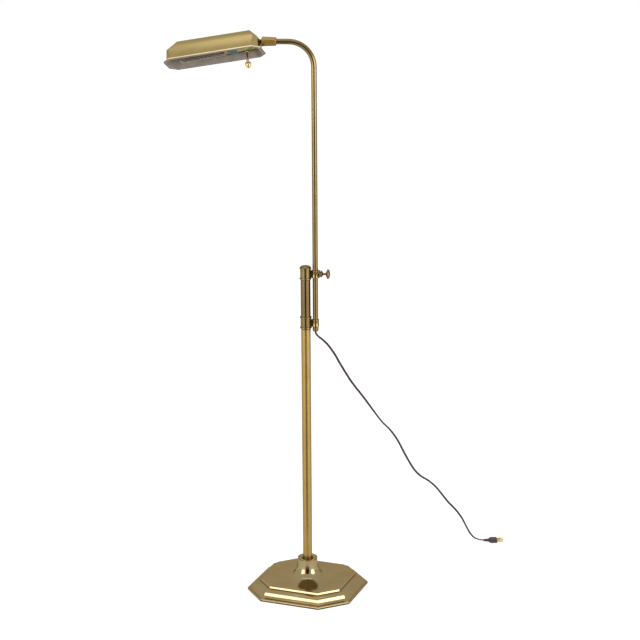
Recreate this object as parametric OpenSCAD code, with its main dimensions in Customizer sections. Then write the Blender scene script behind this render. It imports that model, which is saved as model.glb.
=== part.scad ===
// Adjustable pharmacy floor lamp: weighted eight-sided base, brass column, sliding cranked arm and a
// tilting metal shade on a ball swivel. Millimetres, +Z up. The origin is the middle of the base on the
// floor, and the arm stands beside the column on its +X side and reaches back over it towards -X.

/* [Base] */
// Width of the base at the foot
base_w = 262; // [245:1:300]
// Depth of the base at the foot
base_d = 249; // [235:1:285]
// Length that each cut corner takes off a side
base_clip = 57.5; // [48:0.5:66]
// Turn of the base about the column
base_turn = -15; // [-45:1:45]
// Height of the flat plate over the floor
plate_h = 29.2; // [27:0.1:36]
// Width of the moulding round the plate
mould_w = 31; // [27:0.5:36]
// Height of the outer lip over the floor
lip_h = 6; // [5:0.1:8]
// Thickness of the cover over the weight
cover_t = 1.8; // [1.2:0.1:2.4]
// Thickness of the felt under the weight
felt_t = 2; // [1:0.1:3]

/* [Bell] */
// Height of the bell's rim over the floor
bell_h = 78; // [68:0.5:95]
// Width of the bell's rim
bell_top_d = 43.4; // [38:0.2:50]
// Width of the bell halfway up
bell_mid_d = 56; // [52:0.5:64]
// Width of the bell's foot, where it meets the plate
bell_foot_d = 92; // [84:1:110]
// Depth of the dish round the column's foot
dish_depth = 2.6; // [1.5:0.1:4]

/* [Column] */
// Outer diameter of the column and of the head tube
tube_d = 22.2; // [20:0.1:25]
// Wall of both tubes
tube_t = 1.2; // [0.9:0.1:1.6]
// Height where the head tube stands on the column
head_z = 650.3; // [560:0.1:720]
// Length of the head tube
head_len = 148.9; // [140:0.1:200]
// Height of the cap's dome over the head tube
cap_h = 6.6; // [4:0.1:10]

/* [Guides] */
// Height of the lower guide's eye over the column's top
guide_lift = 15.6; // [15:0.1:20]
// Distance between the two guides
guide_span = 117.9; // [110:0.1:118]
// Distance from the column's axis to the rod's axis
rod_x = 23; // [22:0.1:30]
// Diameter of the eye round the rod
eye_d = 15.3; // [15:0.1:17]
// Height of the eye
eye_h = 18.7; // [14:0.1:20]
// Diameter of the boss on the eye's outer side
boss_d = 18.4; // [16:0.1:20]
// Reach of the boss from the rod's axis
boss_reach = 12; // [11:0.1:16]
// Distance between the two beads on a guide's sleeve
bead_span = 25.2; // [22:0.1:26]
// Radius of each bead
bead_r = 1.6; // [1:0.1:2]

/* [Thumbscrew] */
// Diameter of the thumbscrew's thread
screw_d = 5; // [4:0.1:6]
// Diameter of the thumbscrew's collar
collar_d = 18; // [14:0.1:20]
// Diameter of the thumbscrew's head
thumb_d = 23.6; // [18:0.1:28]
// Length of the thumbscrew outside the boss
thumb_len = 24.5; // [22:0.1:34]

/* [Arm] */
// Outer diameter of the rod that slides in the guides
rod_d = 12.7; // [12:0.1:13]
// Wall of the rod
rod_t = 1.3; // [1.2:0.05:1.6]
// Height of the arm's axis over the floor
arm_z = 1321.2; // [1260:0.1:1380]
// Radius of the rod's bend, on its axis
bend_r = 57; // [45:0.5:70]
// Reach of the shade's ball beyond the column's axis
ball_reach = 92; // [85:0.5:150]
// Length of the nozzle under the lower guide
nozzle_len = 11; // [9:0.1:16]
// Diameter of the nozzle at its top
nozzle_d = 14.2; // [14:0.1:15]

/* [Swivel] */
// Diameter of the ball
ball_d = 14; // [13:0.1:15]
// Width of the eight-sided barrel over its flats, at the ball
barrel_w = 21.2; // [20:0.1:24]
// Width of the barrel over its flats, at the arm
barrel_end_w = 18.6; // [17:0.1:20]
// Length of the barrel
barrel_len = 32.3; // [31:0.1:40]
// How far the barrel's mouth stands past the ball's centre
mouth_lead = 2.5; // [2:0.1:3]

/* [Shade] */
// Length of the shade over its rim
shade_l = 230; // [222:1:260]
// Width of the shade over its rim
shade_w = 76; // [74:0.5:90]
// Height of the shade
shade_h = 54; // [50:0.5:64]
// Length that each cut corner takes off the rim
shade_clip = 17; // [12:0.5:20]
// Length of the ridge
ridge_l = 172; // [160:1:180]
// Height of the shoulder where the end walls break inwards
shoulder_h = 30; // [26:0.5:36]
// Width of the rim's flange
rim_w = 6.5; // [4:0.1:8]
// Thickness of the rim's flange
rim_t = 2.8; // [2:0.1:3.5]
// Wall of the shade
shade_t = 1.2; // [0.8:0.1:1.5]
// Lean of the end walls, and so the dip of the lamp holder
end_lean = 2.5; // [0:0.1:4]
// Height of the ball's centre over the rim
ball_h = 22; // [20:0.1:26]
// Distance from the shade's end to the ball's centre
ball_gap = 1; // [0.5:0.1:5]
// Swing of the shade about the upright
shade_swing = -5; // [-20:1:20]
// Rise of the shade towards the arm
shade_rise = -9.5; // [-15:0.5:15]
// Roll of the shade about its own length
shade_roll = -26; // [-90:1:90]

/* [Lamp holder] */
// Diameter of the holder's shell
socket_d = 30; // [29.4:0.1:34]
// Distance from the ball to the shell's mouth
socket_reach = 88; // [84:0.5:96]
// Diameter of the bulb
bulb_d = 28; // [25:0.5:30]
// Distance from the bulb's tip to the shade's far end
bulb_gap = 30; // [26:1:80]
// Distance from the ball to the switch key
key_s = 40; // [38:0.5:44]
// Reach of the switch key from the holder's axis
key_reach = 58; // [50:0.5:70]
// Diameter of the key's acorn knob
key_d = 14; // [10:0.2:16]

/* [Cord] */
// Width of the flat twin lead
cord_w = 5.4; // [4.6:0.1:5.6]
// Thickness of the lead
cord_t = 3; // [2.4:0.1:3.4]
// Length of the plug's body
plug_len = 34; // [30:0.5:42]

/* [Hidden] */
$fn = 96;
fit = 0.05;
seat = 0.02;
foot_gap = 0.8;
lip_r = 1.5;
tube_r = tube_d / 2;
tube_in_r = tube_r - tube_t;
rod_r = rod_d / 2;
rod_in_r = rod_r - rod_t;
column_z = bell_h - dish_depth;
head_top = head_z + head_len;
low_z = head_z + guide_lift;
high_z = low_z + guide_span;
sleeve_rise = 1.1;
sleeve_r = tube_r + 0.7;
bush_t = 0.6;
pad_len = 2;
nozzle_top = low_z - eye_h / 2 - 0.3;
nozzle_tip = nozzle_top - nozzle_len;
rod_z = nozzle_tip + 5;
pipe_d = 9.8;
pipe_z = 5;
nut_pocket_d = 40;
pocket_h = 9;
ball_r = ball_d / 2;
ball_x = -ball_reach;
barrel_end = barrel_len - mouth_lead;
barrel_bore_r = ball_r + 0.1;
nipple_r = rod_in_r - fit;
ball_off = shade_l / 2 + ball_gap;
bulb_reach = shade_l + ball_gap - bulb_gap;
seat_s = 3.5;
spring_s = 8.1;
nut_s = 11;
wall_s = (ball_off - shade_l / 2 + rim_w) * cos(end_lean) + (ball_h - rim_t) * sin(end_lean);
stem_r = 4.9;
flange_t = 1.6;
stem_nut_s = wall_s + shade_t;
cap_s = stem_nut_s + 3.1;
shell_s = cap_s + 18;
socket_r = socket_d / 2;
socket_t = 0.7;
liner_t = 0.5;
screw_r = socket_r - socket_t - liner_t - 0.2;
bulb_neck_s = socket_reach - 2;
plug_h = 11;
plug_w = 25;
plug_turn = 8;

// The lead's route: straight out of the nozzle, down with a slight sag and soft waves, onto the floor.
cord_pts = [
    [rod_x, 0, nozzle_tip], [23, 0.4, 632], [26, 4.5, 619], [36, 18, 601], [55, 41, 574], [77, 66, 540],
    [99, 93, 496], [127, 124, 446], [150, 148, 404], [168, 167, 372], [187, 184, 346], [205, 200, 314],
    [224, 216, 270], [243, 232, 230], [260, 245, 206], [281, 260, 187], [299, 271, 167], [314, 282, 144],
    [330, 291, 120], [348, 301, 97], [364, 308, 73], [376, 313, 48], [386, 316.5, 28], [397, 319.5, 14],
    [409, 322, 8], [422, 323.7, 5.5]];
rings_per_run = 3;
cord_sides = 10;

brass = [0.71, 0.6, 0.36];
dark_brass = [0.45, 0.35, 0.17];
iron = [0.24, 0.24, 0.25];
brown = [0.2, 0.12, 0.09];

// Points of curves: a circular arc, a bend with one pull point and a bend with two.
function arc(c, r, a0, a1, n = 6) =
    [for (i = [0:n]) let (a = a0 + (a1 - a0) * i / n) [c[0] + r * cos(a), c[1] + r * sin(a)]];
function bend2(a, b, c, n = 8) =
    [for (i = [0:n]) let (t = i / n) a * (1 - t) * (1 - t) + b * 2 * t * (1 - t) + c * t * t];
function bend3(a, b, c, d, n = 12) =
    [for (i = [0:n]) let (t = i / n, s = 1 - t) a * s * s * s + b * 3 * s * s * t + c * 3 * s * t * t + d * t * t * t];

// A bar with the same outline on both sides of its middle. Each point is [distance in from the edge, height].
module ridge_bar(half, outline) {
    n = len(outline);
    rotate([90, 0, 0])
        linear_extrude(height = 700, center = true)
            polygon(concat(
                [for (p = outline) [p[0] - half, p[1]]],
                [for (i = [n - 1:-1:0]) [half - outline[i][0], outline[i][1]]]));
}

// A block whose sides, ends and cut corners each follow an outline and meet in true mitres. Each bar is
// turned by the same kind of angle, so that all four keep exactly the same heights where they meet.
module mitred(hx, hy, clip, ends, sides, corners) {
    half = (hx + hy - clip) / sqrt(2);
    rotate([0, 0, 22.5]) intersection() {
        rotate([0, 0, -22.5]) ridge_bar(hx, ends);
        rotate([0, 0, 67.5]) ridge_bar(hy, sides);
        rotate([0, 0, 22.5]) ridge_bar(half, corners);
        rotate([0, 0, -67.5]) ridge_bar(half, corners);
    }
}

module clipped_plate(w, d, clip, h) {
    linear_extrude(height = h)
        polygon([
            [w / 2 - clip, -d / 2], [w / 2, clip - d / 2], [w / 2, d / 2 - clip], [w / 2 - clip, d / 2],
            [clip - w / 2, d / 2], [-w / 2, d / 2 - clip], [-w / 2, clip - d / 2], [clip - w / 2, -d / 2]]);
}

// Clip of the same outline drawn in by some distance all round.
function drawn_clip(clip, by) = clip - by * (2 - sqrt(2));

module ring(r_out, r_in, h) {
    difference() {
        cylinder(r = r_out, h = h);
        translate([0, 0, -1]) cylinder(r = r_in, h = h + 2);
    }
}

module hex_nut(across, r_in, h) {
    difference() {
        cylinder(d = across / cos(30), h = h, $fn = 6);
        translate([0, 0, -1]) cylinder(r = r_in, h = h + 2);
    }
}

// Base: felt, iron weight, moulded cover with its bell, and the pipe that clamps them to the column.
module base_felt() {
    color("darkgreen") rotate([0, 0, base_turn])
        clipped_plate(base_w - 8, base_d - 8, drawn_clip(base_clip, 4), felt_t);
}

// Inner outline of the cover; the weight has the same one, drawn in by a small gap.
function cover_inside(gap, top) = [
    [cover_t + gap, -1], [cover_t + gap, lip_h - cover_t - gap],
    [mould_w - 3 + gap, plate_h - cover_t - 2.6 - gap], [mould_w - 2.2 + gap, top]];

module base_weight() {
    top = plate_h - cover_t - 0.2;
    color(iron) rotate([0, 0, base_turn]) difference() {
        intersection() {
            mitred(base_w / 2, base_d / 2, base_clip,
                cover_inside(0.3, top), cover_inside(0.3, top), cover_inside(0.3, top));
            translate([0, 0, felt_t]) cylinder(r = base_w, h = plate_h);
        }
        translate([0, 0, felt_t - 1]) cylinder(d = nut_pocket_d, h = pocket_h + 1);
        cylinder(d = pipe_d + 2 * fit, h = plate_h);
    }
}

function moulding() = concat(
    [[0, foot_gap]],
    arc([lip_r, lip_h - lip_r], lip_r, 180, 90),
    [[2.6, lip_h], [2.6, lip_h + 1]],
    bend2([3.2, lip_h + 1], [(mould_w - 3) / 2 + 2, (lip_h + plate_h) / 2 - 3.6], [mould_w - 6.4, plate_h - 3.4]),
    [[mould_w - 6.4, plate_h - 2.2], [mould_w - 4.4, plate_h - 2.2], [mould_w - 4.4, plate_h - 0.9]],
    arc([mould_w - 2, plate_h - 0.5], 1.5, 165, 20),
    [[mould_w, plate_h]]);

module bell_solid() {
    top_r = bell_top_d / 2;
    mid_r = bell_mid_d / 2;
    foot_r = bell_foot_d / 2;
    mid_z = plate_h + (bell_h - plate_h) * 0.59;
    rotate_extrude() polygon(concat(
        [[0, plate_h - 1.5], [foot_r + 39, plate_h - 1.5]],
        bend2([foot_r + 39, plate_h - 0.3], [foot_r + 14, plate_h + 0.5], [foot_r, plate_h + 2.1]),
        bend3([foot_r, plate_h + 2.1], [mid_r + 3, plate_h + 4.6],
            [mid_r + 1.3, mid_z - 9.6], [mid_r, mid_z]),
        bend2([mid_r, mid_z], [mid_r - 1.5, mid_z + 12], [top_r, bell_h - 0.8]),
        arc([top_r - 1, bell_h - 1], 1, 12, 90, 4),
        [[top_r - 1.9, bell_h]],
        bend2([top_r - 1.9, bell_h], [top_r - 3, column_z], [top_r - 7, column_z]),
        [[0, column_z]]));
}

module base_cover() {
    top = plate_h - cover_t;
    color(brass) rotate([0, 0, base_turn]) difference() {
        union() {
            mitred(base_w / 2, base_d / 2, base_clip, moulding(), moulding(), moulding());
            bell_solid();
        }
        mitred(base_w / 2, base_d / 2, base_clip, cover_inside(0, top), cover_inside(0, top), cover_inside(0, top));
        cylinder(d = pipe_d + 2 * fit, h = bell_h);
    }
}

module base_pipe() {
    color("silver") translate([0, 0, pipe_z]) ring(pipe_d / 2, 3.6, column_z + 16 - pipe_z);
}

module base_washer() {
    color("silver") translate([0, 0, felt_t + pocket_h - 1.8]) ring(14, pipe_d / 2 + fit, 1.8);
}

module base_nut() {
    color("silver") translate([0, 0, felt_t + pocket_h - 6.8]) hex_nut(17, pipe_d / 2 + seat, 5);
}

// Column: foot plug and ring in the bell's dish, the column, a coupler and the head tube with its cap.
module foot_plug() {
    color("silver") translate([0, 0, column_z]) ring(tube_in_r - seat, pipe_d / 2 + seat, 22);
}

module foot_ring() {
    color(dark_brass) translate([0, 0, column_z]) rotate_extrude() polygon(concat(
        [[tube_r + seat, 0], [tube_r + 2.4, 0]], arc([tube_r + 1.2, 0.8], 1.2, 0, 180), [[tube_r + seat, 0.8]]));
}

module column_tube() {
    color(brass) translate([0, 0, column_z]) ring(tube_r, tube_in_r, head_z - column_z);
}

module column_coupler() {
    color("silver") translate([0, 0, head_z - 28]) ring(tube_in_r - seat, tube_in_r - 2, 56);
}

module head_tube() {
    color(brass) translate([0, 0, head_z]) difference() {
        cylinder(r = tube_r, h = head_len);
        translate([0, 0, -1]) cylinder(r = tube_in_r, h = head_len + 2);
    }
}

module head_cap() {
    rim_r = tube_r + 1.2;
    dome_r = (rim_r * rim_r + (cap_h - 1) * (cap_h - 1)) / (2 * (cap_h - 1));
    color(brass) translate([0, 0, head_top]) rotate_extrude() polygon(concat(
        [[0, -9], [tube_in_r - 1, -9], [tube_in_r - seat, -8], [tube_in_r - seat, 0], [rim_r, 0]],
        arc([0, cap_h - dome_r], dome_r, acos(rim_r / dome_r), 90, 14)));
}

// A guide: beaded sleeve on the head tube, a waisted web, the eye round the rod and a round boss outside.
module guide(z) {
    half = bead_span / 2;
    web_top = eye_h / 2 - 0.6;
    color(brass) translate([0, 0, z]) difference() {
        union() {
            translate([0, 0, sleeve_rise]) rotate_extrude() polygon(concat(
                [[tube_r - 1, -half - bead_r], [sleeve_r, -half - bead_r]],
                arc([tube_r + 0.2, -half], bead_r, -60, 60), [[sleeve_r, -half + bead_r]],
                [[sleeve_r, half - bead_r]], arc([tube_r + 0.2, half], bead_r, -60, 60),
                [[sleeve_r, half + bead_r], [tube_r - 1, half + bead_r]]));
            rotate([90, 0, 0]) linear_extrude(height = 9, center = true) polygon(concat(
                bend2([tube_r, web_top + 2], [rod_x - eye_d / 2 - 1, web_top - 2.4], [rod_x - 4, web_top]),
                bend2([rod_x - 4, -web_top], [rod_x - eye_d / 2 - 1, 2.4 - web_top], [tube_r, -web_top - 2])));
            translate([rod_x, 0, 0]) rotate_extrude() polygon(concat(
                [[0, -eye_h / 2], [eye_d / 2 - 1.2, -eye_h / 2]],
                arc([eye_d / 2 - 1.2, 1.2 - eye_h / 2], 1.2, -90, 0, 4),
                [[eye_d / 2 - 0.35, 2.4 - eye_h / 2], [eye_d / 2 - 0.35, -1.2], [eye_d / 2, -0.7],
                    [eye_d / 2, 0.7], [eye_d / 2 - 0.35, 1.2], [eye_d / 2 - 0.35, eye_h / 2 - 2.4]],
                arc([eye_d / 2 - 1.2, eye_h / 2 - 1.2], 1.2, 0, 90, 4), [[0, eye_h / 2]]));
            translate([rod_x, 0, 0]) rotate([0, 90, 0]) rotate_extrude() polygon(concat(
                [[0, 5], [boss_d / 2 - 1.6, 5]],
                bend2([boss_d / 2 - 1.6, 5], [boss_d / 2, 6], [boss_d / 2, 7.6], 4),
                [[boss_d / 2, boss_reach - 1.4]],
                arc([boss_d / 2 - 1.4, boss_reach - 1.4], 1.4, 0, 90, 4), [[0, boss_reach]]));
        }
        translate([0, 0, -40]) cylinder(r = tube_r + seat, h = 80);
        translate([rod_x, 0, -40]) cylinder(r = rod_r + fit + bush_t, h = 80);
        translate([rod_x, 0, 0]) rotate([0, 90, 0]) cylinder(d = screw_d + 2 * fit, h = 40);
    }
}

module lower_guide() {
    guide(low_z);
}

module upper_guide() {
    guide(high_z);
}

module bush(z) {
    color("ivory") translate([rod_x, 0, z - eye_h / 2 + 0.3]) difference() {
        ring(rod_r + fit + bush_t - seat, rod_r + fit, eye_h - 0.6);
        translate([0, 0, eye_h / 2 - 0.3]) rotate([0, 90, 0]) cylinder(d = screw_d + 2 * fit, h = 20);
    }
}

module lower_bush() {
    bush(low_z);
}

module upper_bush() {
    bush(high_z);
}

// Thumbscrew and the pad that it presses on the rod.
module clamp_frame() {
    translate([rod_x, 0, high_z]) rotate([0, 90, 0]) children();
}

module clamp_pad() {
    color("ivory") clamp_frame() translate([0, 0, rod_r + 0.3]) cylinder(d = screw_d - 0.2, h = pad_len);
}

module thumbscrew() {
    a = boss_reach + 1.5;
    b = boss_reach + thumb_len + 1.5;
    color(brass) clamp_frame() rotate_extrude() polygon(concat(
        [[0, rod_r + 0.35 + pad_len], [screw_d / 2, rod_r + 0.35 + pad_len], [screw_d / 2, a], [collar_d / 2 - 3, a]],
        bend2([collar_d / 2 - 3, a], [collar_d / 2, a + 0.6], [collar_d / 2, a + 2.6], 6),
        bend3([collar_d / 2, a + 2.6], [collar_d / 2 - 0.6, a + 5], [3.2, a + 5.2], [2.9, a + 8], 8),
        bend3([2.8, a + 12], [3.4, a + 15], [thumb_d / 2 - 2, a + 15.4], [thumb_d / 2, b - 6.4], 10),
        bend3([thumb_d / 2, b - 6.4], [thumb_d / 2 + 0.3, b - 4.4], [thumb_d / 2 - 5, b], [0, b], 10)));
}

// Rod and arm in one bent tube, with the lead inside and the nipple that carries the swivel.
module bent_bar(r, z0, x_end) {
    translate([rod_x, 0, z0]) cylinder(r = r, h = arm_z - bend_r - z0);
    translate([rod_x - bend_r, 0, arm_z - bend_r]) rotate([90, 0, 0])
        rotate_extrude(angle = 90) translate([bend_r, 0]) circle(r = r);
    translate([rod_x - bend_r, 0, arm_z]) rotate([0, -90, 0]) cylinder(r = r, h = rod_x - bend_r - x_end);
}

module arm_tube() {
    color(brass) difference() {
        bent_bar(rod_r, rod_z, ball_x + barrel_end + 0.3);
        bent_bar(rod_in_r, rod_z - 1, ball_x + barrel_end - 1);
    }
}

module arm_lead() {
    color(brown) bent_bar(2.2, rod_z + 2, ball_x + nut_s);
}

module arm_frame() {
    translate([ball_x, 0, arm_z]) rotate([0, 90, 0]) children();
}

module arm_nipple() {
    color("silver") arm_frame() translate([0, 0, nut_s]) ring(nipple_r, 3, barrel_end + 14 - nut_s);
}

module nipple_nut() {
    color("silver") arm_frame() translate([0, 0, nut_s]) ring(barrel_bore_r - 0.3, nipple_r + seat, 3);
}

module cord_nozzle() {
    color(brass) translate([rod_x, 0, nozzle_tip]) difference() {
        rotate_extrude() polygon(concat(
            [[0, 0], [3.9, 0]],
            bend3([3.9, 0], [4.6, 2.4], [nozzle_d / 2 - 0.2, 3.6], [nozzle_d / 2, 6.4], 8),
            [[nozzle_d / 2, nozzle_len - 0.4], [nozzle_d / 2 - 0.4, nozzle_len], [0, nozzle_len]]));
        translate([0, 0, rod_z - nozzle_tip]) cylinder(r = rod_r + fit, h = nozzle_len);
        translate([0, 0, -1]) cylinder(r = 3.1, h = nozzle_len);
        translate([0, 0, 3]) cylinder(r = 4.6, h = nozzle_len);
    }
}

module cord_bushing() {
    color("black") translate([rod_x, 0, nozzle_tip]) {
        cylinder(r = 3.08, h = 3);
        translate([0, 0, 3]) cylinder(r = 4.58, h = rod_z - nozzle_tip - 3.1);
    }
}

// The lead: rings of an oval swept along a smooth curve through the route's points.
function cord_at(i, t) = let (
    n = len(cord_pts) - 1,
    a = cord_pts[max(i - 1, 0)], b = cord_pts[i], c = cord_pts[min(i + 1, n)], d = cord_pts[min(i + 2, n)])
    (b * 2 + (c - a) * t + (a * 2 - b * 5 + c * 4 - d) * t * t + (b * 3 - a - c * 3 + d) * t * t * t) / 2;

module power_cord() {
    runs = len(cord_pts) - 1;
    line = concat([for (i = [0:runs - 1], k = [0:rings_per_run - 1]) cord_at(i, k / rings_per_run)],
        [cord_pts[runs]]);
    n = len(line);
    m = cord_sides;
    dirs = [for (i = [0:n - 1])
        let (d = i == 0 ? [0, 0, -1] : i == n - 1 ? [cos(plug_turn), sin(plug_turn), 0] : line[i + 1] - line[i - 1])
        d / norm(d)];
    across = [for (d = dirs) let (c = cross(d, [0.2, 0.2, 1])) c / norm(c)];
    rims = [for (i = [0:n - 1], j = [0:m - 1])
        let (a = 360 * j / m, up = cross(across[i], dirs[i]))
        line[i] + across[i] * (cord_w / 2 * cos(a)) + up * (cord_t / 2 * sin(a))];
    color(brown) polyhedron(rims, concat(
        [[for (j = [0:m - 1]) j]],
        [for (i = [0:n - 2], j = [0:m - 1]) [i * m + j, i * m + m + j, i * m + (j + 1) % m]],
        [for (i = [0:n - 2], j = [0:m - 1]) [i * m + (j + 1) % m, i * m + m + j, i * m + m + (j + 1) % m]],
        [[for (j = [m - 1:-1:0]) n * m - m + j]]), 4);
}

module plug_frame() {
    translate(cord_pts[len(cord_pts) - 1]) rotate([0, 0, plug_turn]) children();
}

// Flat two-pin plug: a tapered neck that swells into the body, drawn in plan and from the side.
module plug_body() {
    w = plug_w / 2;
    h = plug_h / 2;
    color(brown) plug_frame() intersection() {
        translate([0, 0, -h]) linear_extrude(height = plug_h) polygon(concat(
            [[0, -cord_w / 2 - 0.9], [10, -cord_w / 2 - 1.6]],
            bend3([10, -cord_w / 2 - 1.6], [15, -5], [14, -w], [20, -w]),
            arc([plug_len - 2, 2 - w], 2, -90, 0), arc([plug_len - 2, w - 2], 2, 0, 90),
            bend3([20, w], [14, w], [15, 5], [10, cord_w / 2 + 1.6]), [[0, cord_w / 2 + 0.9]]));
        rotate([90, 0, 0]) linear_extrude(height = plug_w + 2, center = true) polygon(concat(
            [[0, -cord_t / 2 - 0.9], [10, -cord_t / 2 - 1.3]],
            bend2([10, -cord_t / 2 - 1.3], [14, -h], [19, -h]),
            [[plug_len, -h], [plug_len, h]],
            bend2([19, h], [14, h], [10, cord_t / 2 + 1.3]), [[0, cord_t / 2 + 0.9]]));
    }
}

module plug_blades() {
    color("gold") plug_frame() for (s = [-1, 1]) difference() {
        translate([plug_len, s * 6.35 - 0.75, -3.2]) cube([16, 1.5, 6.4]);
        translate([plug_len + 12, s * 6.35, 0]) rotate([90, 0, 0]) cylinder(d = 3, h = 4, center = true);
    }
}

// Swivel: an eight-sided tapered barrel with a round seat, and a ball on a short neck and flange.
module swivel_barrel() {
    w = barrel_w / 2;
    lean = (barrel_w - barrel_end_w) / 2;
    clip = barrel_w / 2 * (2 - sqrt(2));
    outline = [[0, 0], [lean, barrel_len]];
    color(brass) arm_frame() difference() {
        intersection() {
            translate([0, 0, -mouth_lead]) mitred(w, w, clip, outline, outline, outline);
            rotate_extrude() polygon([
                [0, -mouth_lead], [ball_r + 0.6, -mouth_lead], [barrel_w * 0.56, 1.8 - mouth_lead + 2],
                [barrel_w * 0.56, barrel_end - 3], [barrel_end_w / 2 - 0.4, barrel_end], [0, barrel_end]]);
        }
        sphere(r = barrel_bore_r);
        cylinder(r = barrel_bore_r, h = nut_s + 3);
        cylinder(r = nipple_r + fit, h = barrel_len + 10);
    }
}

module ball_seat() {
    color("silver") arm_frame() difference() {
        translate([0, 0, seat_s]) cylinder(r = barrel_bore_r - seat, h = spring_s - 0.1 - seat_s);
        sphere(r = ball_r + fit);
        cylinder(r = 3.4, h = 30);
    }
}

module swivel_spring() {
    color("silver") arm_frame() rotate_extrude() polygon([
        [barrel_bore_r - 0.1, spring_s], [barrel_bore_r - 0.1, spring_s + 0.7],
        [nipple_r + 0.3, nut_s - 0.1], [nipple_r + 0.3, nut_s - 0.8]]);
}

// Frame of the shade: origin in the middle of the rim, +X to the ball, +Z out of the ridge.
module shade_frame() {
    translate([ball_x, 0, arm_z]) rotate([0, 0, shade_swing]) rotate([0, shade_rise, 0])
        rotate([shade_roll, 0, 0]) translate([-ball_off, 0, -ball_h]) children();
}

// Frame of the lamp holder: origin in the ball, +Z into the shade square to its end wall.
module stem_frame() {
    shade_frame() translate([ball_off, 0, ball_h]) rotate([0, -90 - end_lean, 0]) children();
}

module swivel_ball() {
    color(dark_brass) stem_frame() difference() {
        union() {
            sphere(r = ball_r);
            cylinder(r = 3.5, h = wall_s);
            translate([0, 0, wall_s - flange_t]) cylinder(r = 7.5, h = flange_t);
            translate([0, 0, wall_s - 0.5]) cylinder(r = stem_r, h = cap_s + 5 - wall_s);
        }
        translate([0, 0, -20]) cylinder(r = 2.2, h = 60);
    }
}

// Shade outlines, each from the rim up: end walls with a shoulder, vaulted sides, and mitred corners.
corner_half = (shade_l / 2 + shade_w / 2 - shade_clip) / sqrt(2);

function rim() = [[0, 0], [0, rim_t - 0.7], [0.7, rim_t], [rim_w, rim_t]];
function leaned(z) = rim_w + (z - rim_t) * tan(end_lean);

function end_outline() = concat(rim(), [[leaned(shoulder_h), shoulder_h], [(shade_l - ridge_l) / 2, shade_h]]);
function side_outline() = concat(rim(), bend3([rim_w, rim_t], [rim_w + 1.5, rim_t + shade_h * 0.43],
    [shade_w * 0.23, shade_h * 0.88], [shade_w / 2, shade_h], 16));
function corner_outline() = concat(rim(),
    [[leaned(shoulder_h), shoulder_h], [corner_half - ridge_l / 2 / sqrt(2) - 0.3, shade_h]]);

// The hollow follows the same outlines, a wall further in. The end walls alone cut off the ridge, inside
// and out, and the corners end a little below it.
function inner(z) = leaned(z) + shade_t / cos(end_lean);
function end_hollow() = [[inner(-1), -1], [inner(shoulder_h - 0.6), shoulder_h - 0.6],
    [(shade_l - ridge_l) / 2 + 0.4, shade_h - shade_t * 1.2]];
function side_hollow() = concat([[rim_w + shade_t, -1]],
    bend3([rim_w + shade_t, rim_t], [rim_w + 1.5 + shade_t, rim_t + shade_h * 0.43 - 0.4],
    [shade_w * 0.23 + shade_t * 0.7, shade_h * 0.88 - shade_t], [shade_w / 2, shade_h - shade_t * 1.2], 16));
function corner_hollow() = [[inner(-1), -1], [inner(shoulder_h - 0.6), shoulder_h - 0.6],
    [corner_half - ridge_l / 2 / sqrt(2) - 0.1, shade_h - shade_t * 1.2]];

module shade_shell() {
    color(brass) {
        difference() {
            shade_frame() difference() {
                mitred(shade_l / 2, shade_w / 2, shade_clip, end_outline(), side_outline(), corner_outline());
                mitred(shade_l / 2, shade_w / 2, shade_clip, end_hollow(), side_hollow(), corner_hollow());
            }
            stem_frame() cylinder(r = stem_r + fit, h = stem_nut_s + 4);
        }
    }
}

module stem_nut() {
    color("silver") stem_frame() translate([0, 0, stem_nut_s]) hex_nut(14, stem_r + seat, 3);
}

// Lamp holder: cap, shell, plain card band, card liner, screw shell, contact and switch block.
module socket_cap() {
    color(brass) stem_frame() translate([0, 0, cap_s]) difference() {
        rotate_extrude() polygon(concat(
            [[0, 0], [6.6, 0], [6.6, 3.4]],
            bend3([7.4, 4.4], [socket_r - 2, 5], [socket_r + 0.4, 8], [socket_r + 0.4, 12], 10),
            [[socket_r + 0.4, 17.6], [socket_r + 0.1, 17.9], [0, 17.9]]));
        translate([0, 0, -1]) cylinder(r = stem_r + seat, h = 8);
        translate([0, 0, 7]) cylinder(r = socket_r - 3.4, h = 20);
        translate([0, 0, 11]) cylinder(r = socket_r - 0.6, h = 20);
    }
}

module socket_shell() {
    color(brass) stem_frame() difference() {
        rotate_extrude() polygon(concat(
            [[socket_r - socket_t, shell_s], [socket_r - 0.1, shell_s], [socket_r, shell_s + 1]],
            arc([socket_r - 0.2, shell_s + 4], 0.9, -70, 70),
            [[socket_r, shell_s + 7], [socket_r, socket_reach - 0.8]],
            arc([socket_r - 0.3, socket_reach - 0.6], 0.6, 0, 90, 4),
            [[socket_r - socket_t, socket_reach]]));
        translate([0, 0, key_s]) rotate([0, -90, 0]) cylinder(r = 3, h = 30);
    }
}

module socket_band() {
    color([0.2, 0.36, 0.4]) stem_frame() translate([0, 0, socket_reach - 27]) ring(socket_r + 0.3, socket_r + seat, 18);
}

module socket_liner() {
    color("peru") stem_frame() translate([0, 0, key_s + 18]) ring(socket_r - socket_t - seat,
        socket_r - socket_t - liner_t, socket_reach + 3 - key_s - 18);
}

module screw_shell() {
    color("gold") stem_frame() translate([0, 0, key_s + 18.1]) ring(screw_r + 0.15, screw_r - 0.3, socket_reach - 4 - key_s - 18);
}

module center_contact() {
    color("gold") stem_frame() translate([0, 0, key_s + 17.7]) cylinder(r = 3, h = 1.4);
}

module switch_body() {
    color("black") stem_frame() difference() {
        translate([0, 0, key_s - 8.5]) cylinder(r = socket_r - socket_t - 0.1, h = 26);
        translate([0, 0, key_s]) rotate([0, -90, 0]) cylinder(r = 2.5, h = 40);
    }
}

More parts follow.
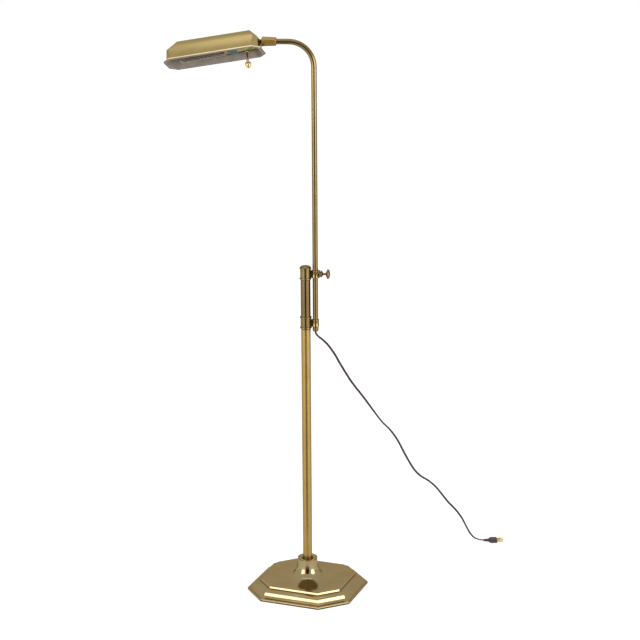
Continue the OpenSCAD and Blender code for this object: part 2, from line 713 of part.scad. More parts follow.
module switch_key() {
    a = key_reach - 21.5;
    r = key_d / 2;
    color(brass) stem_frame() translate([0, 0, key_s]) rotate([0, -90, 0]) rotate_extrude() polygon(concat(
        [[0, 7], [2.4, 7], [2.4, socket_r + 0.4], [3.6, socket_r + 0.4], [3.6, socket_r + 1.6],
            [2.4, socket_r + 2.6], [2.4, a], [3.5, a + 0.8], [3.9, a + 2.2], [3.5, a + 3.6], [2.6, a + 4.6]],
        bend3([2.6, a + 5.2], [r - 0.6, a + 5.4], [r, a + 8], [r, a + 10.5], 8),
        bend3([r, a + 10.5], [r, a + 15], [3, a + 18.4], [0, a + 21.5], 10)));
}

// Bulb: cap, clear tubular glass and the wires inside.
module bulb_base() {
    color("silver") stem_frame() rotate_extrude() polygon([
        [0, key_s + 19.2], [4, key_s + 19.2], [4, key_s + 20.4], [10, key_s + 24], [screw_r - 0.5, key_s + 26],
        [screw_r - 0.5, bulb_neck_s], [0, bulb_neck_s]]);
}

module bulb_glass() {
    r = bulb_d / 2;
    n = screw_r - 0.9;
    color([0.85, 0.88, 0.9]) stem_frame() rotate_extrude() polygon(concat(
        [[n - 3, bulb_neck_s]],
        bend3([n, bulb_neck_s], [n, bulb_neck_s + 8], [r, bulb_neck_s + 6], [r, bulb_neck_s + 16], 8),
        bend3([r, bulb_reach - 14], [r, bulb_reach - 4], [r - 6, bulb_reach], [0, bulb_reach], 12),
        bend3([0, bulb_reach - 0.8], [r - 6.6, bulb_reach - 0.8], [r - 0.8, bulb_reach - 4.8], [r - 0.8, bulb_reach - 14], 12),
        bend3([r - 0.8, bulb_neck_s + 16], [r - 0.8, bulb_neck_s + 7], [n - 3, bulb_neck_s + 8], [n - 3, bulb_neck_s], 8)));
}

module bulb_filament() {
    tip = bulb_reach - 16;
    color("silver") stem_frame() {
        translate([0, 0, bulb_neck_s]) cylinder(r = 3.2, h = 18);
        translate([0, 0, bulb_neck_s + 17]) cylinder(r = 1.2, h = tip - bulb_neck_s - 17);
        for (a = [0:60:300]) rotate([0, 0, a]) translate([5, 0, bulb_neck_s + 20])
            cylinder(r = 0.35, h = tip - bulb_neck_s - 22);
        for (z = [bulb_neck_s + 22, tip - 4], a = [0:60:300]) translate([0, 0, z]) rotate([0, 90, a])
            cylinder(r = 0.3, h = 5.2);
    }
}

base_felt();
base_weight();
base_cover();
base_pipe();
base_washer();
base_nut();
foot_plug();
foot_ring();
column_tube();
column_coupler();
head_tube();
head_cap();
lower_guide();
upper_guide();
lower_bush();
upper_bush();
clamp_pad();
thumbscrew();
cord_nozzle();
cord_bushing();
power_cord();
plug_body();
plug_blades();
arm_tube();
arm_lead();
arm_nipple();
nipple_nut();
swivel_barrel();
ball_seat();
swivel_spring();
swivel_ball();
shade_shell();
stem_nut();
socket_cap();
socket_shell();
socket_band();
socket_liner();
screw_shell();
center_contact();
switch_body();
switch_key();
bulb_base();
bulb_glass();
bulb_filament();
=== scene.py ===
# Adjustable pharmacy floor lamp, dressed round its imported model. Blender works in metres; the sizes of
# each piece are written in millimetres and are scaled once, where its mesh is made.
import math

import bmesh
import bpy
from mathutils import Matrix, Vector


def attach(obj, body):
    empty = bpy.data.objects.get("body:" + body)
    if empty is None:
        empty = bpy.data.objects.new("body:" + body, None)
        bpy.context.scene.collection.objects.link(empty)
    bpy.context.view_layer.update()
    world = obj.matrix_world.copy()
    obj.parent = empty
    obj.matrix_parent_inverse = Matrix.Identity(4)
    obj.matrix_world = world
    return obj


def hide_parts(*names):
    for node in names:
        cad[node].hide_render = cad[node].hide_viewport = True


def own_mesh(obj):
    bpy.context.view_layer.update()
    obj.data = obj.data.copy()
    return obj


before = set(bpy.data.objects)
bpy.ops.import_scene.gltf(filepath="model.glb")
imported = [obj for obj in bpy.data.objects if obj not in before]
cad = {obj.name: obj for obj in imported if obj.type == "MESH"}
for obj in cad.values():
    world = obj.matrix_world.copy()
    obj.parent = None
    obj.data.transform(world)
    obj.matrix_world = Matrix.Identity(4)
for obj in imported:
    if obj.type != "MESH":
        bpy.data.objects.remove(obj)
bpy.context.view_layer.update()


# Camera: a long lens a little above the lamp's middle and slightly to its right, tipped down, as the
# photograph was taken. It has no shift and no depth of field.
lens = bpy.data.cameras.new("long_lens")
lens.lens = 103.70
lens.sensor_width = 36
lens.clip_end = 60
camera = bpy.data.objects.new("camera", lens)
camera.matrix_world = (
    Matrix.Translation((0.45425, -4.14577, 1.79520))
    @ Matrix.Rotation(math.radians(5.796), 4, "Z")
    @ Matrix.Rotation(math.radians(74.926), 4, "X")
    @ Matrix.Rotation(math.radians(-0.338), 4, "Z"))
bpy.context.scene.collection.objects.link(camera)
bpy.context.scene.camera = camera


# Power lead: flat twin flex in dark brown PVC. It leaves the nozzle under the rod, runs down in a long
# shallow line and comes to lie on the floor, where its plug is.
LEAD_POINTS = [
    (23, 0, 645.25), (23.6, 0.7, 640), (29, 6.5, 631), (38, 16, 620.5), (49, 28, 605), (58, 39.5, 588),
    (66, 50, 571), (75.5, 62, 548), (99, 93, 496), (127, 124, 446), (150, 148, 404), (168, 167, 372),
    (187, 184, 346), (205, 200, 314), (224, 216, 270), (243, 232, 230), (260, 245, 206), (281, 260, 187),
    (299, 271, 167), (314, 282, 144), (330, 291, 120), (348, 301, 97), (364, 308, 73), (376, 313, 48),
    (386, 316.5, 28), (397, 319.5, 14), (409, 322, 8), (422, 323.7, 5.5)]
# Roll of the flat lead about its own run at each point, in degrees from its broad side facing the front.
LEAD_ROLLS = [50, 45, 40, 30, 20, 8, 0, 0, 0, 8, 40, 52, 40, 12, 0, 0, 15, 30, 30, 20, 0, 0, 28, 45, 42, 52, 68, 80]
LEAD_STEPS = 8
CORE_R, CORE_X, NOTCH = 1.5, 1.2, 143
PLUG_TURN = math.radians(8)


def colour(red, green, blue):
    """A colour read from a screen, as the shader wants it."""
    return [((c / 255 + 0.055) / 1.055) ** 2.4 if c > 10 else c / 3295 for c in (red, green, blue)] + [1]


def bare_finish(name, base, rough, metal=0.0, coat=0.0, coat_rough=0.1):
    """A new material with its plain values set; the pattern comes on top."""
    finish = bpy.data.materials.new(name)
    finish.use_nodes = True
    tree = finish.node_tree
    shader = tree.nodes["Principled BSDF"]
    shader.inputs["Base Color"].default_value = base
    shader.inputs["Roughness"].default_value = rough
    shader.inputs["Metallic"].default_value = metal
    shader.inputs["Coat Weight"].default_value = coat
    shader.inputs["Coat Roughness"].default_value = coat_rough
    return finish, tree, shader


def mottle(tree, size, stretch=(1, 1, 1), turn=(0, 0, 0), detail=3.0):
    """Noise on the piece's own coordinates. The size is its spots' width in metres."""
    place = tree.nodes.new("ShaderNodeTexCoord")
    turned = tree.nodes.new("ShaderNodeMapping")
    turned.inputs["Rotation"].default_value = turn
    drawn = tree.nodes.new("ShaderNodeMapping")
    drawn.inputs["Scale"].default_value = stretch
    noise = tree.nodes.new("ShaderNodeTexNoise")
    noise.inputs["Scale"].default_value = 1 / size
    noise.inputs["Detail"].default_value = detail
    tree.links.new(place.outputs["Object"], turned.inputs["Vector"])
    tree.links.new(turned.outputs["Vector"], drawn.inputs["Vector"])
    tree.links.new(drawn.outputs["Vector"], noise.inputs["Vector"])
    return noise.outputs["Fac"]


def stretched(tree, value, low, high, first, last):
    """Turns the part of a pattern between low and high into values from first to last."""
    scale = tree.nodes.new("ShaderNodeMapRange")
    for socket, number in zip(("From Min", "From Max", "To Min", "To Max"), (low, high, first, last)):
        scale.inputs[socket].default_value = number
    tree.links.new(value, scale.inputs["Value"])
    return scale.outputs["Result"]


def tinted(tree, amount, under, over):
    """Mixes two colours, or a colour over a pattern already made."""
    mix = tree.nodes.new("ShaderNodeMix")
    mix.data_type = "RGBA"
    tree.links.new(amount, mix.inputs["Factor"])
    for socket, value in (("A", under), ("B", over)):
        entry = [s for s in mix.inputs if s.name == socket and s.type == "RGBA"][0]
        if isinstance(value, bpy.types.NodeSocket):
            tree.links.new(value, entry)
        else:
            entry.default_value = value
    return [s for s in mix.outputs if s.type == "RGBA"][0]


def dented(tree, shader, height, strength, depth):
    """Bump of a few hundredths of a millimetre from a pattern."""
    bump = tree.nodes.new("ShaderNodeBump")
    bump.inputs["Strength"].default_value = strength
    bump.inputs["Distance"].default_value = depth
    tree.links.new(height, bump.inputs["Height"])
    tree.links.new(bump.outputs["Normal"], shader.inputs["Normal"])


def moulded(name, base, worn, rough, grain=0.0006):
    """Plastic as it leaves the mould: a slight orange peel, and duller, paler patches from handling."""
    finish, tree, shader = bare_finish(name, base, rough)
    patches = mottle(tree, 0.012, detail=4)
    tree.links.new(tinted(tree, stretched(tree, patches, 0.45, 0.75, 0, 0.5), base, worn), shader.inputs["Base Color"])
    tree.links.new(stretched(tree, patches, 0.3, 0.7, rough - 0.06, rough + 0.1), shader.inputs["Roughness"])
    dented(tree, shader, mottle(tree, grain), 0.25, 0.00005)
    return finish


def made(name, mesh, body, finish, place=Matrix.Identity(4), crease=35, recalc=True):
    """Turns a bmesh in millimetres into a piece in metres that rides on its body."""
    if recalc:
        bmesh.ops.recalc_face_normals(mesh, faces=mesh.faces)
    mesh.transform(Matrix.Scale(0.001, 4) @ place)
    data = bpy.data.meshes.new(name)
    for face in mesh.faces:
        face.smooth = True
    mesh.to_mesh(data)
    mesh.free()
    data.set_sharp_from_angle(angle=math.radians(crease))
    data.materials.append(finish)
    piece = bpy.data.objects.new(name, data)
    bpy.context.scene.collection.objects.link(piece)
    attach(piece, body)
    return piece


def smooth_route(points, steps):
    """Points of one smooth curve through the given ones."""
    route = []
    for i in range(len(points) - 1):
        a, b, c, d = (Vector(points[min(max(k, 0), len(points) - 1)]) for k in range(i - 1, i + 3))
        for k in range(steps):
            t = k / steps
            route.append((b * 2 + (c - a) * t + (a * 2 - b * 5 + c * 4 - d) * t * t
                          + (b * 3 - a - c * 3 + d) * t * t * t) / 2)
    return route + [Vector(points[-1])]


def ring_place(at, heading, roll=0, level=(0.1, -1, 0.27)):
    """Where a ring of the lead stands: X across it, Y out of its flat side, Z along it."""
    across = heading.cross(Matrix.Rotation(math.radians(roll), 3, heading) @ Vector(level)).normalized()
    up = across.cross(heading)
    return Matrix.Translation(at) @ Matrix((across, up, heading)).transposed().to_4x4()


lead_pvc = moulded("lead_pvc", colour(42, 21, 18), colour(62, 36, 31), 0.42, 0.0011)
lead_route = smooth_route(LEAD_POINTS, LEAD_STEPS)
lead = bmesh.new()
lobe = [(CORE_X + CORE_R * math.cos(math.radians(a)), CORE_R * math.sin(math.radians(a)))
        for a in [NOTCH * k / 5 for k in range(-5, 6)]]
outline = lobe + [(-x, -y) for x, y in lobe[1:-1]]
loop = [lead.verts.new((x, y, 0)) for x, y in outline]
edges = [lead.edges.new((loop[i - 1], loop[i])) for i in range(len(loop))]
headings = [(b - a).normalized() for a, b in zip(lead_route[:-1], lead_route[1:])]
headings = ([Vector((0, 0, -1))] + [(a + b).normalized() for a, b in zip(headings[:-1], headings[1:])]
            + [Vector((math.cos(PLUG_TURN), math.sin(PLUG_TURN), 0))])
rolls = [r.x for r in smooth_route([(r, 0, 0) for r in LEAD_ROLLS], LEAD_STEPS)]
here = ring_place(lead_route[0], headings[0], rolls[0])
bmesh.ops.transform(lead, matrix=here, verts=loop)
lead.faces.new(loop)
for at, heading, roll in zip(lead_route[1:], headings[1:], rolls[1:]):
    grown = bmesh.ops.extrude_edge_only(lead, edges=edges)["geom"]
    loop = [g for g in grown if isinstance(g, bmesh.types.BMVert)]
    edges = [g for g in grown if isinstance(g, bmesh.types.BMEdge)]
    there = ring_place(at, heading, roll)
    bmesh.ops.transform(lead, matrix=there @ here.inverted(), verts=loop)
    here = there
bmesh.ops.edgeloop_fill(lead, edges=edges)
lead = made("twin_lead", lead, "rod_end", lead_pvc, crease=50)
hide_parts("power_cord")
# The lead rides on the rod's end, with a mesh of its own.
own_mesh(lead)


# Plug: two-pin body moulded on the lead's end in the same brown PVC, with a tapered neck and grip ribs
# across its shoulders. Its blades are folded brass, and lie flat with it on the floor.
PLUG_LENGTH, PLUG_HALF, PLUG_RISE = 34, 12.5, 5.5
FIRST_RIB, RIB_PITCH = 21.2, 2.6
plug = bmesh.new()
stations = [(0, 3.6, 2.4), (5, 3.9, 2.6), (10, 4.3, 2.8), (12.5, 5.3, 3.3), (14.5, 7.6, 4.2), (16.5, 10.2, 5.0),
            (18.5, 12.0, 5.4), (20.5, PLUG_HALF, PLUG_RISE)]
for k in range(4):
    start = FIRST_RIB + RIB_PITCH * k
    stations += [(start, PLUG_HALF, PLUG_RISE), (start + 0.5, PLUG_HALF - 0.5, PLUG_RISE - 0.5),
                 (start + 1.3, PLUG_HALF - 0.5, PLUG_RISE - 0.5), (start + 1.8, PLUG_HALF, PLUG_RISE)]
stations += [(PLUG_LENGTH - 1.4, PLUG_HALF, PLUG_RISE), (PLUG_LENGTH - 0.4, 12.1, 5.1), (PLUG_LENGTH, 11.3, 4.3)]
disc = bmesh.ops.create_circle(plug, cap_ends=True, segments=32, radius=1)["verts"]
for v in disc:
    side, rise = v.co.x, v.co.y
    v.co = (0, math.copysign(abs(side) ** 0.5, side), math.copysign(abs(rise) ** 0.5, rise))
bmesh.ops.scale(plug, vec=(1, stations[0][1], stations[0][2]), verts=disc)
face = plug.faces[:][0]
for (x0, w0, h0), (x1, w1, h1) in zip(stations[:-1], stations[1:]):
    grown = bmesh.ops.extrude_face_region(plug, geom=[face])["geom"]
    bmesh.ops.delete(plug, geom=[face], context="FACES_ONLY")
    face = [g for g in grown if isinstance(g, bmesh.types.BMFace)][0]
    bmesh.ops.translate(plug, vec=(x1 - x0, 0, 0), verts=face.verts[:])
    bmesh.ops.scale(plug, vec=(1, w1 / w0, h1 / h0), verts=face.verts[:])
bmesh.ops.edgeloop_fill(plug, edges=[e for e in plug.edges if e.is_boundary])
plug_place = Matrix.Translation(LEAD_POINTS[-1]) @ Matrix.Rotation(PLUG_TURN, 4, "Z")
plug = made("plug_moulding", plug, "stand", lead_pvc, plug_place, crease=60)
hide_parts("plug_body")


def carried(node, *finishes):
    """A CAD node whose shape is right keeps its mesh and gets its real finish."""
    cad[node].data.materials.clear()
    for finish in finishes:
        cad[node].data.materials.append(finish)
    return cad[node]


def plated(name, base, dull, rough, spots=0.004):
    """Sheet or wire that was plated or rolled: cloudy grey patches and short handling marks."""
    finish, tree, shader = bare_finish(name, base, rough, metal=1.0)
    clouds = mottle(tree, spots, detail=5)
    tree.links.new(tinted(tree, stretched(tree, clouds, 0.4, 0.7, 0, 0.7), base, dull), shader.inputs["Base Color"])
    tree.links.new(stretched(tree, clouds, 0.3, 0.7, rough, rough + 0.14), shader.inputs["Roughness"])
    dented(tree, shader, mottle(tree, 0.0008), 0.15, 0.00003)
    return finish


blade_brass = plated("blade_brass", colour(206, 182, 120), colour(160, 134, 82), 0.24)
blades = carried("plug_blades", blade_brass)


# Felt: a green sheet glued under the cast-iron weight, which fills the cover from below.
# Only the felt's edge shows, in the shadow line under the cover's lip.
felt, tree, shader = bare_finish("felt_fibres", colour(52, 66, 50), 0.95)
fuzz = mottle(tree, 0.0012, detail=6)
tree.links.new(tinted(tree, stretched(tree, fuzz, 0.35, 0.65, 0, 1), colour(38, 50, 38), colour(74, 90, 70)),
               shader.inputs["Base Color"])
shader.inputs["Sheen Weight"].default_value = 0.5
dented(tree, shader, fuzz, 0.8, 0.0004)
carried("base_felt", felt)


# Cover: spun and pressed brass sheet, polished and lacquered. Eight sides with an ogee moulding under a low
# rim meet in sharp mitres round a flat plate, and the plate rises into the bell that holds the column.
BASE_WIDTH, BASE_DEPTH, BASE_CLIP = 262, 249, 57.5
BASE_TURN = Matrix.Rotation(math.radians(-15), 4, "Z")
PLATE_HEIGHT, MOULDING, LIP, LIP_FOOT = 29.2, 31, 6, 0.8
BELL_HEIGHT, BELL_TOP, BELL_FOOT, DISH = 78, 24, 72, 2.6
SHEET = 0.001
# Points of the moulding, in from the lip and up from the floor: the ogee's middle, and the rim's foot and top.
OGEE_MIDDLE, RIM_FOOT, RIM_TOP = (14, 15.8), (28.9, 24.5), (29.9, 27.8)
# Painted shade at the lip's foot and in the groove under the rim, darkening the brass colour there: heights in metres.
FOOT_SHADE_BAND, GROOVE, GROOVE_HALF = (0.0026, 0.0044), 0.0248, 0.0008


def arc(centre, radius, start, end, steps=8):
    """Points on a part of a circle, in degrees."""
    angles = [math.radians(start + (end - start) * k / steps) for k in range(steps + 1)]
    return [(centre[0] + radius * math.cos(a), centre[1] + radius * math.sin(a)) for a in angles]


def sweep(*pulls, steps=14):
    """Points on a curve from the first point to the last, drawn towards those between."""
    curve = []
    for k in range(steps + 1):
        t = k / steps
        row = [Vector(p) for p in pulls]
        while len(row) > 1:
            row = [a.lerp(b, t) for a, b in zip(row[:-1], row[1:])]
        curve.append(tuple(row[0]))
    return curve


def clipped(mesh, width, depth, clip, height):
    """An eight-cornered face: a rectangle with its corners cut off."""
    square = bmesh.ops.create_grid(mesh, x_segments=1, y_segments=1, size=0.5)["verts"]
    bmesh.ops.scale(mesh, vec=(width, depth, 1), verts=square)
    bmesh.ops.translate(mesh, vec=(0, 0, height), verts=square)
    bmesh.ops.bevel(mesh, geom=square, affect="VERTICES", offset=clip, offset_type="OFFSET", segments=1,
                    profile=0.5, material=-1)
    return [f for f in mesh.faces if len(f.verts) == 8][0]


def stepped(mesh, face, outline):
    """Follows an outline of (distance in, height) with mitred rings, and returns the last inner face."""
    for (in0, up0), (in1, up1) in zip(outline[:-1], outline[1:]):
        if in1 - in0 < 1e-4:
            grown = bmesh.ops.extrude_face_region(mesh, geom=[face])["geom"]
            bmesh.ops.delete(mesh, geom=[face], context="FACES_ONLY")
            face = [g for g in grown if isinstance(g, bmesh.types.BMFace)][0]
            bmesh.ops.translate(mesh, vec=(0, 0, up1 - up0), verts=face.verts[:])
        else:
            bmesh.ops.inset_individual(mesh, faces=[face], thickness=in1 - in0, depth=up1 - up0,
                                       use_even_offset=True)
    return face


def spun(mesh, outline, steps=96, closed=False):
    """Turns an outline of (radius, height) about Z on the lathe."""
    turned = [mesh.verts.new((r, 0, z)) for r, z in outline]
    edges = [mesh.edges.new(pair) for pair in zip(turned[:-1], turned[1:])]
    if closed:
        edges.append(mesh.edges.new((turned[-1], turned[0])))
    bmesh.ops.spin(mesh, geom=turned + edges, cent=(0, 0, 0), axis=(0, 0, 1), angle=math.tau, steps=steps,
                   use_merge=True)
    bmesh.ops.remove_doubles(mesh, verts=mesh.verts, dist=0.001)


def brass(name, base, deep, rough, spread, grain, stretch, turn=(0, 0, 0), lift=0.06, coat=0.12):
    """Lacquered brass. Drawing or polishing lines run one way, patches under the lacquer have browned,
    and a few pin-prick spots are darker still."""
    finish, tree, shader = bare_finish(name, base, rough, metal=1.0, coat=coat, coat_rough=0.12)
    shader.inputs["Specular Tint"].default_value = colour(206, 194, 172)
    lines = mottle(tree, grain, stretch, turn, detail=5)
    patches = mottle(tree, 0.045, detail=5)
    spots = mottle(tree, 0.0035, detail=2)
    toned = tinted(tree, stretched(tree, patches, 0.42, 0.72, 0, 0.35), base, deep)
    toned = tinted(tree, stretched(tree, lines, 0.3, 0.75, 0.0, 0.15), toned, deep)
    toned = tinted(tree, stretched(tree, spots, 0.76, 0.82, 0, 0.3), toned, colour(70, 50, 24))
    tree.links.new(toned, shader.inputs["Base Color"])
    tree.links.new(stretched(tree, lines, 0.3, 0.7, rough - spread, rough + spread), shader.inputs["Roughness"])
    dented(tree, shader, lines, lift, 0.00004)
    return finish


cover_brass = brass("cover_brass", colour(150, 133, 98), colour(128, 108, 70), 0.16, 0.04, 0.0016, (1, 1, 1),
                    lift=0.03)
foot = cover_brass.node_tree
shader = foot.nodes["Principled BSDF"]
place = foot.nodes.new("ShaderNodeTexCoord")
split = foot.nodes.new("ShaderNodeSeparateXYZ")
foot.links.new(place.outputs["Object"], split.inputs["Vector"])
# Painted shade: the brass colour is darkened in the groove under the rim and towards the lip's foot.
clean = shader.inputs["Base Color"].links[0].from_socket
painted_groove_shade = foot.nodes.new("ShaderNodeMath")
painted_groove_shade.operation = "COMPARE"
painted_groove_shade.inputs[1].default_value = GROOVE
painted_groove_shade.inputs[2].default_value = GROOVE_HALF
foot.links.new(split.outputs["Z"], painted_groove_shade.inputs[0])
toned = tinted(foot, stretched(foot, painted_groove_shade.outputs["Value"], 0, 1, 0, 0.6), clean, colour(84, 64, 36))
painted_foot_shade = stretched(foot, split.outputs["Z"], *FOOT_SHADE_BAND, 1, 0)
foot.links.new(tinted(foot, painted_foot_shade, toned, colour(66, 50, 34)), shader.inputs["Base Color"])
cover = bmesh.new()
face = clipped(cover, BASE_WIDTH, BASE_DEPTH, BASE_CLIP, LIP_FOOT)
ogee = (sweep((3.2, LIP + 1), (10.4, LIP + 1.6), (11, LIP + 3.6), OGEE_MIDDLE, steps=12)
        + sweep(OGEE_MIDDLE, (17, 22), (18.5, 23.6), (28.6, 24.3), steps=12)[1:])
moulding = ([(0, LIP_FOOT)] + arc((1.5, LIP - 1.5), 1.5, 180, 90, 6) + [(2.6, LIP), (2.6, LIP + 1)] + ogee
            + [RIM_FOOT, RIM_TOP]
            + sweep(RIM_TOP, (30.3, PLATE_HEIGHT - 0.1), (MOULDING, PLATE_HEIGHT), steps=6)[1:])
plate = stepped(cover, face, moulding)
for e in cover.edges:
    a, b = e.verts[0].co, e.verts[1].co
    if abs(a.z - b.z) > 1e-4 or (a.xy - b.xy).length < 5:
        e.smooth = False
plate_rim = plate.edges[:]
bmesh.ops.delete(cover, geom=[plate], context="FACES_ONLY")
dish_z = BELL_HEIGHT - DISH
flare, waist = (38.5, PLATE_HEIGHT + 5), (25.6, PLATE_HEIGHT + 24.8)
bell = (sweep((BELL_FOOT, PLATE_HEIGHT), (BELL_FOOT - 14, PLATE_HEIGHT + 0.1), (BELL_FOOT - 25, PLATE_HEIGHT + 1.3),
              flare)
        + sweep(flare, (34, PLATE_HEIGHT + 6.9), (28, PLATE_HEIGHT + 13.8), waist, steps=24)[1:]
        + sweep(waist, (24.3, PLATE_HEIGHT + 31), (BELL_TOP - 0.4, BELL_HEIGHT - 8),
                (BELL_TOP - 0.6, BELL_HEIGHT - 2.4))[1:]
        + arc((BELL_TOP - 1, BELL_HEIGHT - 1), 1, -30, 90)
        + sweep((BELL_TOP - 3.4, BELL_HEIGHT), (BELL_TOP - 5, dish_z), (BELL_TOP - 9.5, dish_z), steps=10)
        + [(6, dish_z)])
spun(cover, bell, steps=128)
bell_rim = [e for e in cover.edges if e.is_boundary and all(v.co.xy.length > BELL_FOOT - 1 for v in e.verts)
            and e not in plate_rim and all(abs(v.co.z - PLATE_HEIGHT) < 0.01 for v in e.verts)]
bmesh.ops.bridge_loops(cover, edges=list(set(plate_rim + bell_rim)))
cover = made("brass_cover", cover, "stand", cover_brass, BASE_TURN, crease=32)
sheet = cover.modifiers.new("sheet_thickness", "SOLIDIFY")
sheet.thickness = SHEET
sheet.offset = -1
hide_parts("base_cover")


# Weight: cast iron in rough grey, poured to the cover's inside, with a round pocket for the nut and a bore
# for the threaded pipe. It lies on the felt and is clamped by the column.
WEIGHT_SET_IN, WEIGHT_CLIP, WEIGHT_FOOT = 2.5, 56.04, 2
POCKET_R, POCKET_DEPTH, PIPE_BORE = 20, 11, 4.95
iron, tree, shader = bare_finish("cast_iron", colour(62, 60, 60), 0.75, metal=0.6)
sand = mottle(tree, 0.0016, detail=6)
tree.links.new(tinted(tree, stretched(tree, mottle(tree, 0.03), 0.5, 0.7, 0, 0.6), colour(62, 60, 60),
                      colour(92, 66, 50)), shader.inputs["Base Color"])
dented(tree, shader, sand, 0.9, 0.0005)


def loose(name, mesh, place=Matrix.Identity(4)):
    """A solid that is only used to join or cut, still in millimetres."""
    bmesh.ops.recalc_face_normals(mesh, faces=mesh.faces)
    mesh.transform(place)
    data = bpy.data.meshes.new(name)
    mesh.to_mesh(data)
    mesh.free()
    solid = bpy.data.objects.new(name, data)
    bpy.context.scene.collection.objects.link(solid)
    return solid


def fused(first, others):
    """Joins solids to the first one or cuts them from it, and returns the result as a bmesh."""
    for solid, way in others:
        join = first.modifiers.new(way, "BOOLEAN")
        join.operation = way
        join.solver = "EXACT"
        join.object = solid
    result = bmesh.new()
    result.from_object(first, bpy.context.evaluated_depsgraph_get())
    for solid in [first] + [s for s, way in others]:
        bpy.data.objects.remove(solid)
    bmesh.ops.remove_doubles(result, verts=result.verts, dist=0.002)
    return result


def barrel_solid(name, outline, place=Matrix.Identity(4), steps=64, closed=False):
    """A turned solid for joining or cutting."""
    mesh = bmesh.new()
    spun(mesh, outline, steps, closed)
    return loose(name, mesh, place)


weight = bmesh.new()
face = clipped(weight, BASE_WIDTH - 2 * WEIGHT_SET_IN, BASE_DEPTH - 2 * WEIGHT_SET_IN, WEIGHT_CLIP, WEIGHT_FOOT)
stepped(weight, face, [(0, WEIGHT_FOOT), (0, 4.8)] + [(u - 1, z - 1.9) for u, z in ogee[2:]] + [(29, 27.4)])
bmesh.ops.holes_fill(weight, edges=[e for e in weight.edges if e.is_boundary])
weight = fused(loose("casting", weight),
               [(barrel_solid("pocket", [(0, 0), (POCKET_R, 0), (POCKET_R, POCKET_DEPTH), (0, POCKET_DEPTH)]),
                 "DIFFERENCE"),
                (barrel_solid("pipe_bore", [(0, 0), (PIPE_BORE, 0), (PIPE_BORE, 40), (0, 40)]), "DIFFERENCE")])
weight = made("iron_weight", weight, "stand", iron, BASE_TURN)
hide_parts("base_weight")


# Clamping parts in the base: a threaded pipe, a washer and a nut in zinc-plated steel pull the plug in the
# column's foot down on the bell. They are hidden unless the lamp is turned over.
zinc = plated("zinc_plate", colour(176, 178, 182), colour(128, 130, 136), 0.34)
for node in ("base_pipe", "base_washer", "base_nut", "foot_plug", "column_coupler"):
    carried(node, zinc)


# Column: satin brass tube with its drawing lines running up it, standing in the bell's dish in a darker
# ring. A coupler inside carries the head tube, which is polished, and a domed cap closes it.
TUBE_R, HEAD_R, HEAD_BORE = 11.1, 11.5, 9.95
HEAD_FOOT, HEAD_TOP, RING_FOOT = 650.3, 799.2, 75.4
satin = brass("satin_tube", colour(155, 130, 76), colour(130, 104, 54), 0.36, 0.05, 0.0007, (1, 1, 0.02))
polished = brass("polished_tube", colour(114, 95, 60), colour(90, 71, 38), 0.17, 0.04, 0.0009, (1, 1, 0.03))
dark = brass("dark_brass", colour(112, 88, 52), colour(66, 46, 26), 0.3, 0.06, 0.0012, (1, 1, 1))
carried("column_tube", satin)
head = bmesh.new()
spun(head, [(HEAD_BORE, HEAD_FOOT), (HEAD_R - 0.2, HEAD_FOOT), (HEAD_R, HEAD_FOOT + 0.2), (HEAD_R, HEAD_TOP),
            (HEAD_BORE, HEAD_TOP)], closed=True)
head = made("head_sleeve", head, "stand", polished)
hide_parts("head_tube")

ring = bmesh.new()
spun(ring, [(TUBE_R + 0.05, RING_FOOT)] + arc((TUBE_R + 1.2, RING_FOOT + 1), 1.2, -60, 150, 14), closed=True)
ring = made("foot_bead", ring, "stand", dark)
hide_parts("foot_ring")

turned_brass = brass("turned_brass", colour(126, 106, 68), colour(100, 79, 44), 0.16, 0.04, 0.0012, (1, 1, 1))
cap = bmesh.new()
cap_r = HEAD_R + 1.2
spun(cap, [(0, -9), (TUBE_R - 2.2, -9), (TUBE_R - 1.25, -8), (TUBE_R - 1.25, 0), (cap_r - 0.5, 0)]
     + arc((cap_r - 0.5, 0.5), 0.5, -90, 45, 6) + sweep((cap_r - 0.3, 1.1), (cap_r - 3, 4.1), (5, 4.8), (0, 4.8)))
cap = made("domed_cap", cap, "stand", turned_brass, Matrix.Translation((0, 0, HEAD_TOP)))
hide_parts("head_cap")


# Guides: two brass castings, turned and polished, fixed on the head tube. Each has a sleeve with a bead at
# both ends, a waisted web and an eye round the rod. The upper one also has a boss, drilled for the thumbscrew.
LOW_GUIDE, HIGH_GUIDE = 665.9, 783.8
ROD_X, EYE_R, EYE_HALF = 23, 8.4, 9.35
BOSS_R, BOSS_REACH = 9.2, 11
BEAD_SPAN, BEAD_R, WEB_HALF = 12.3, 2.2, 4.5
BUSH_SEAT, SCREW_HOLE = 7, 2.6
TO_THE_RIGHT = Matrix.Rotation(math.radians(90), 4, "Y")


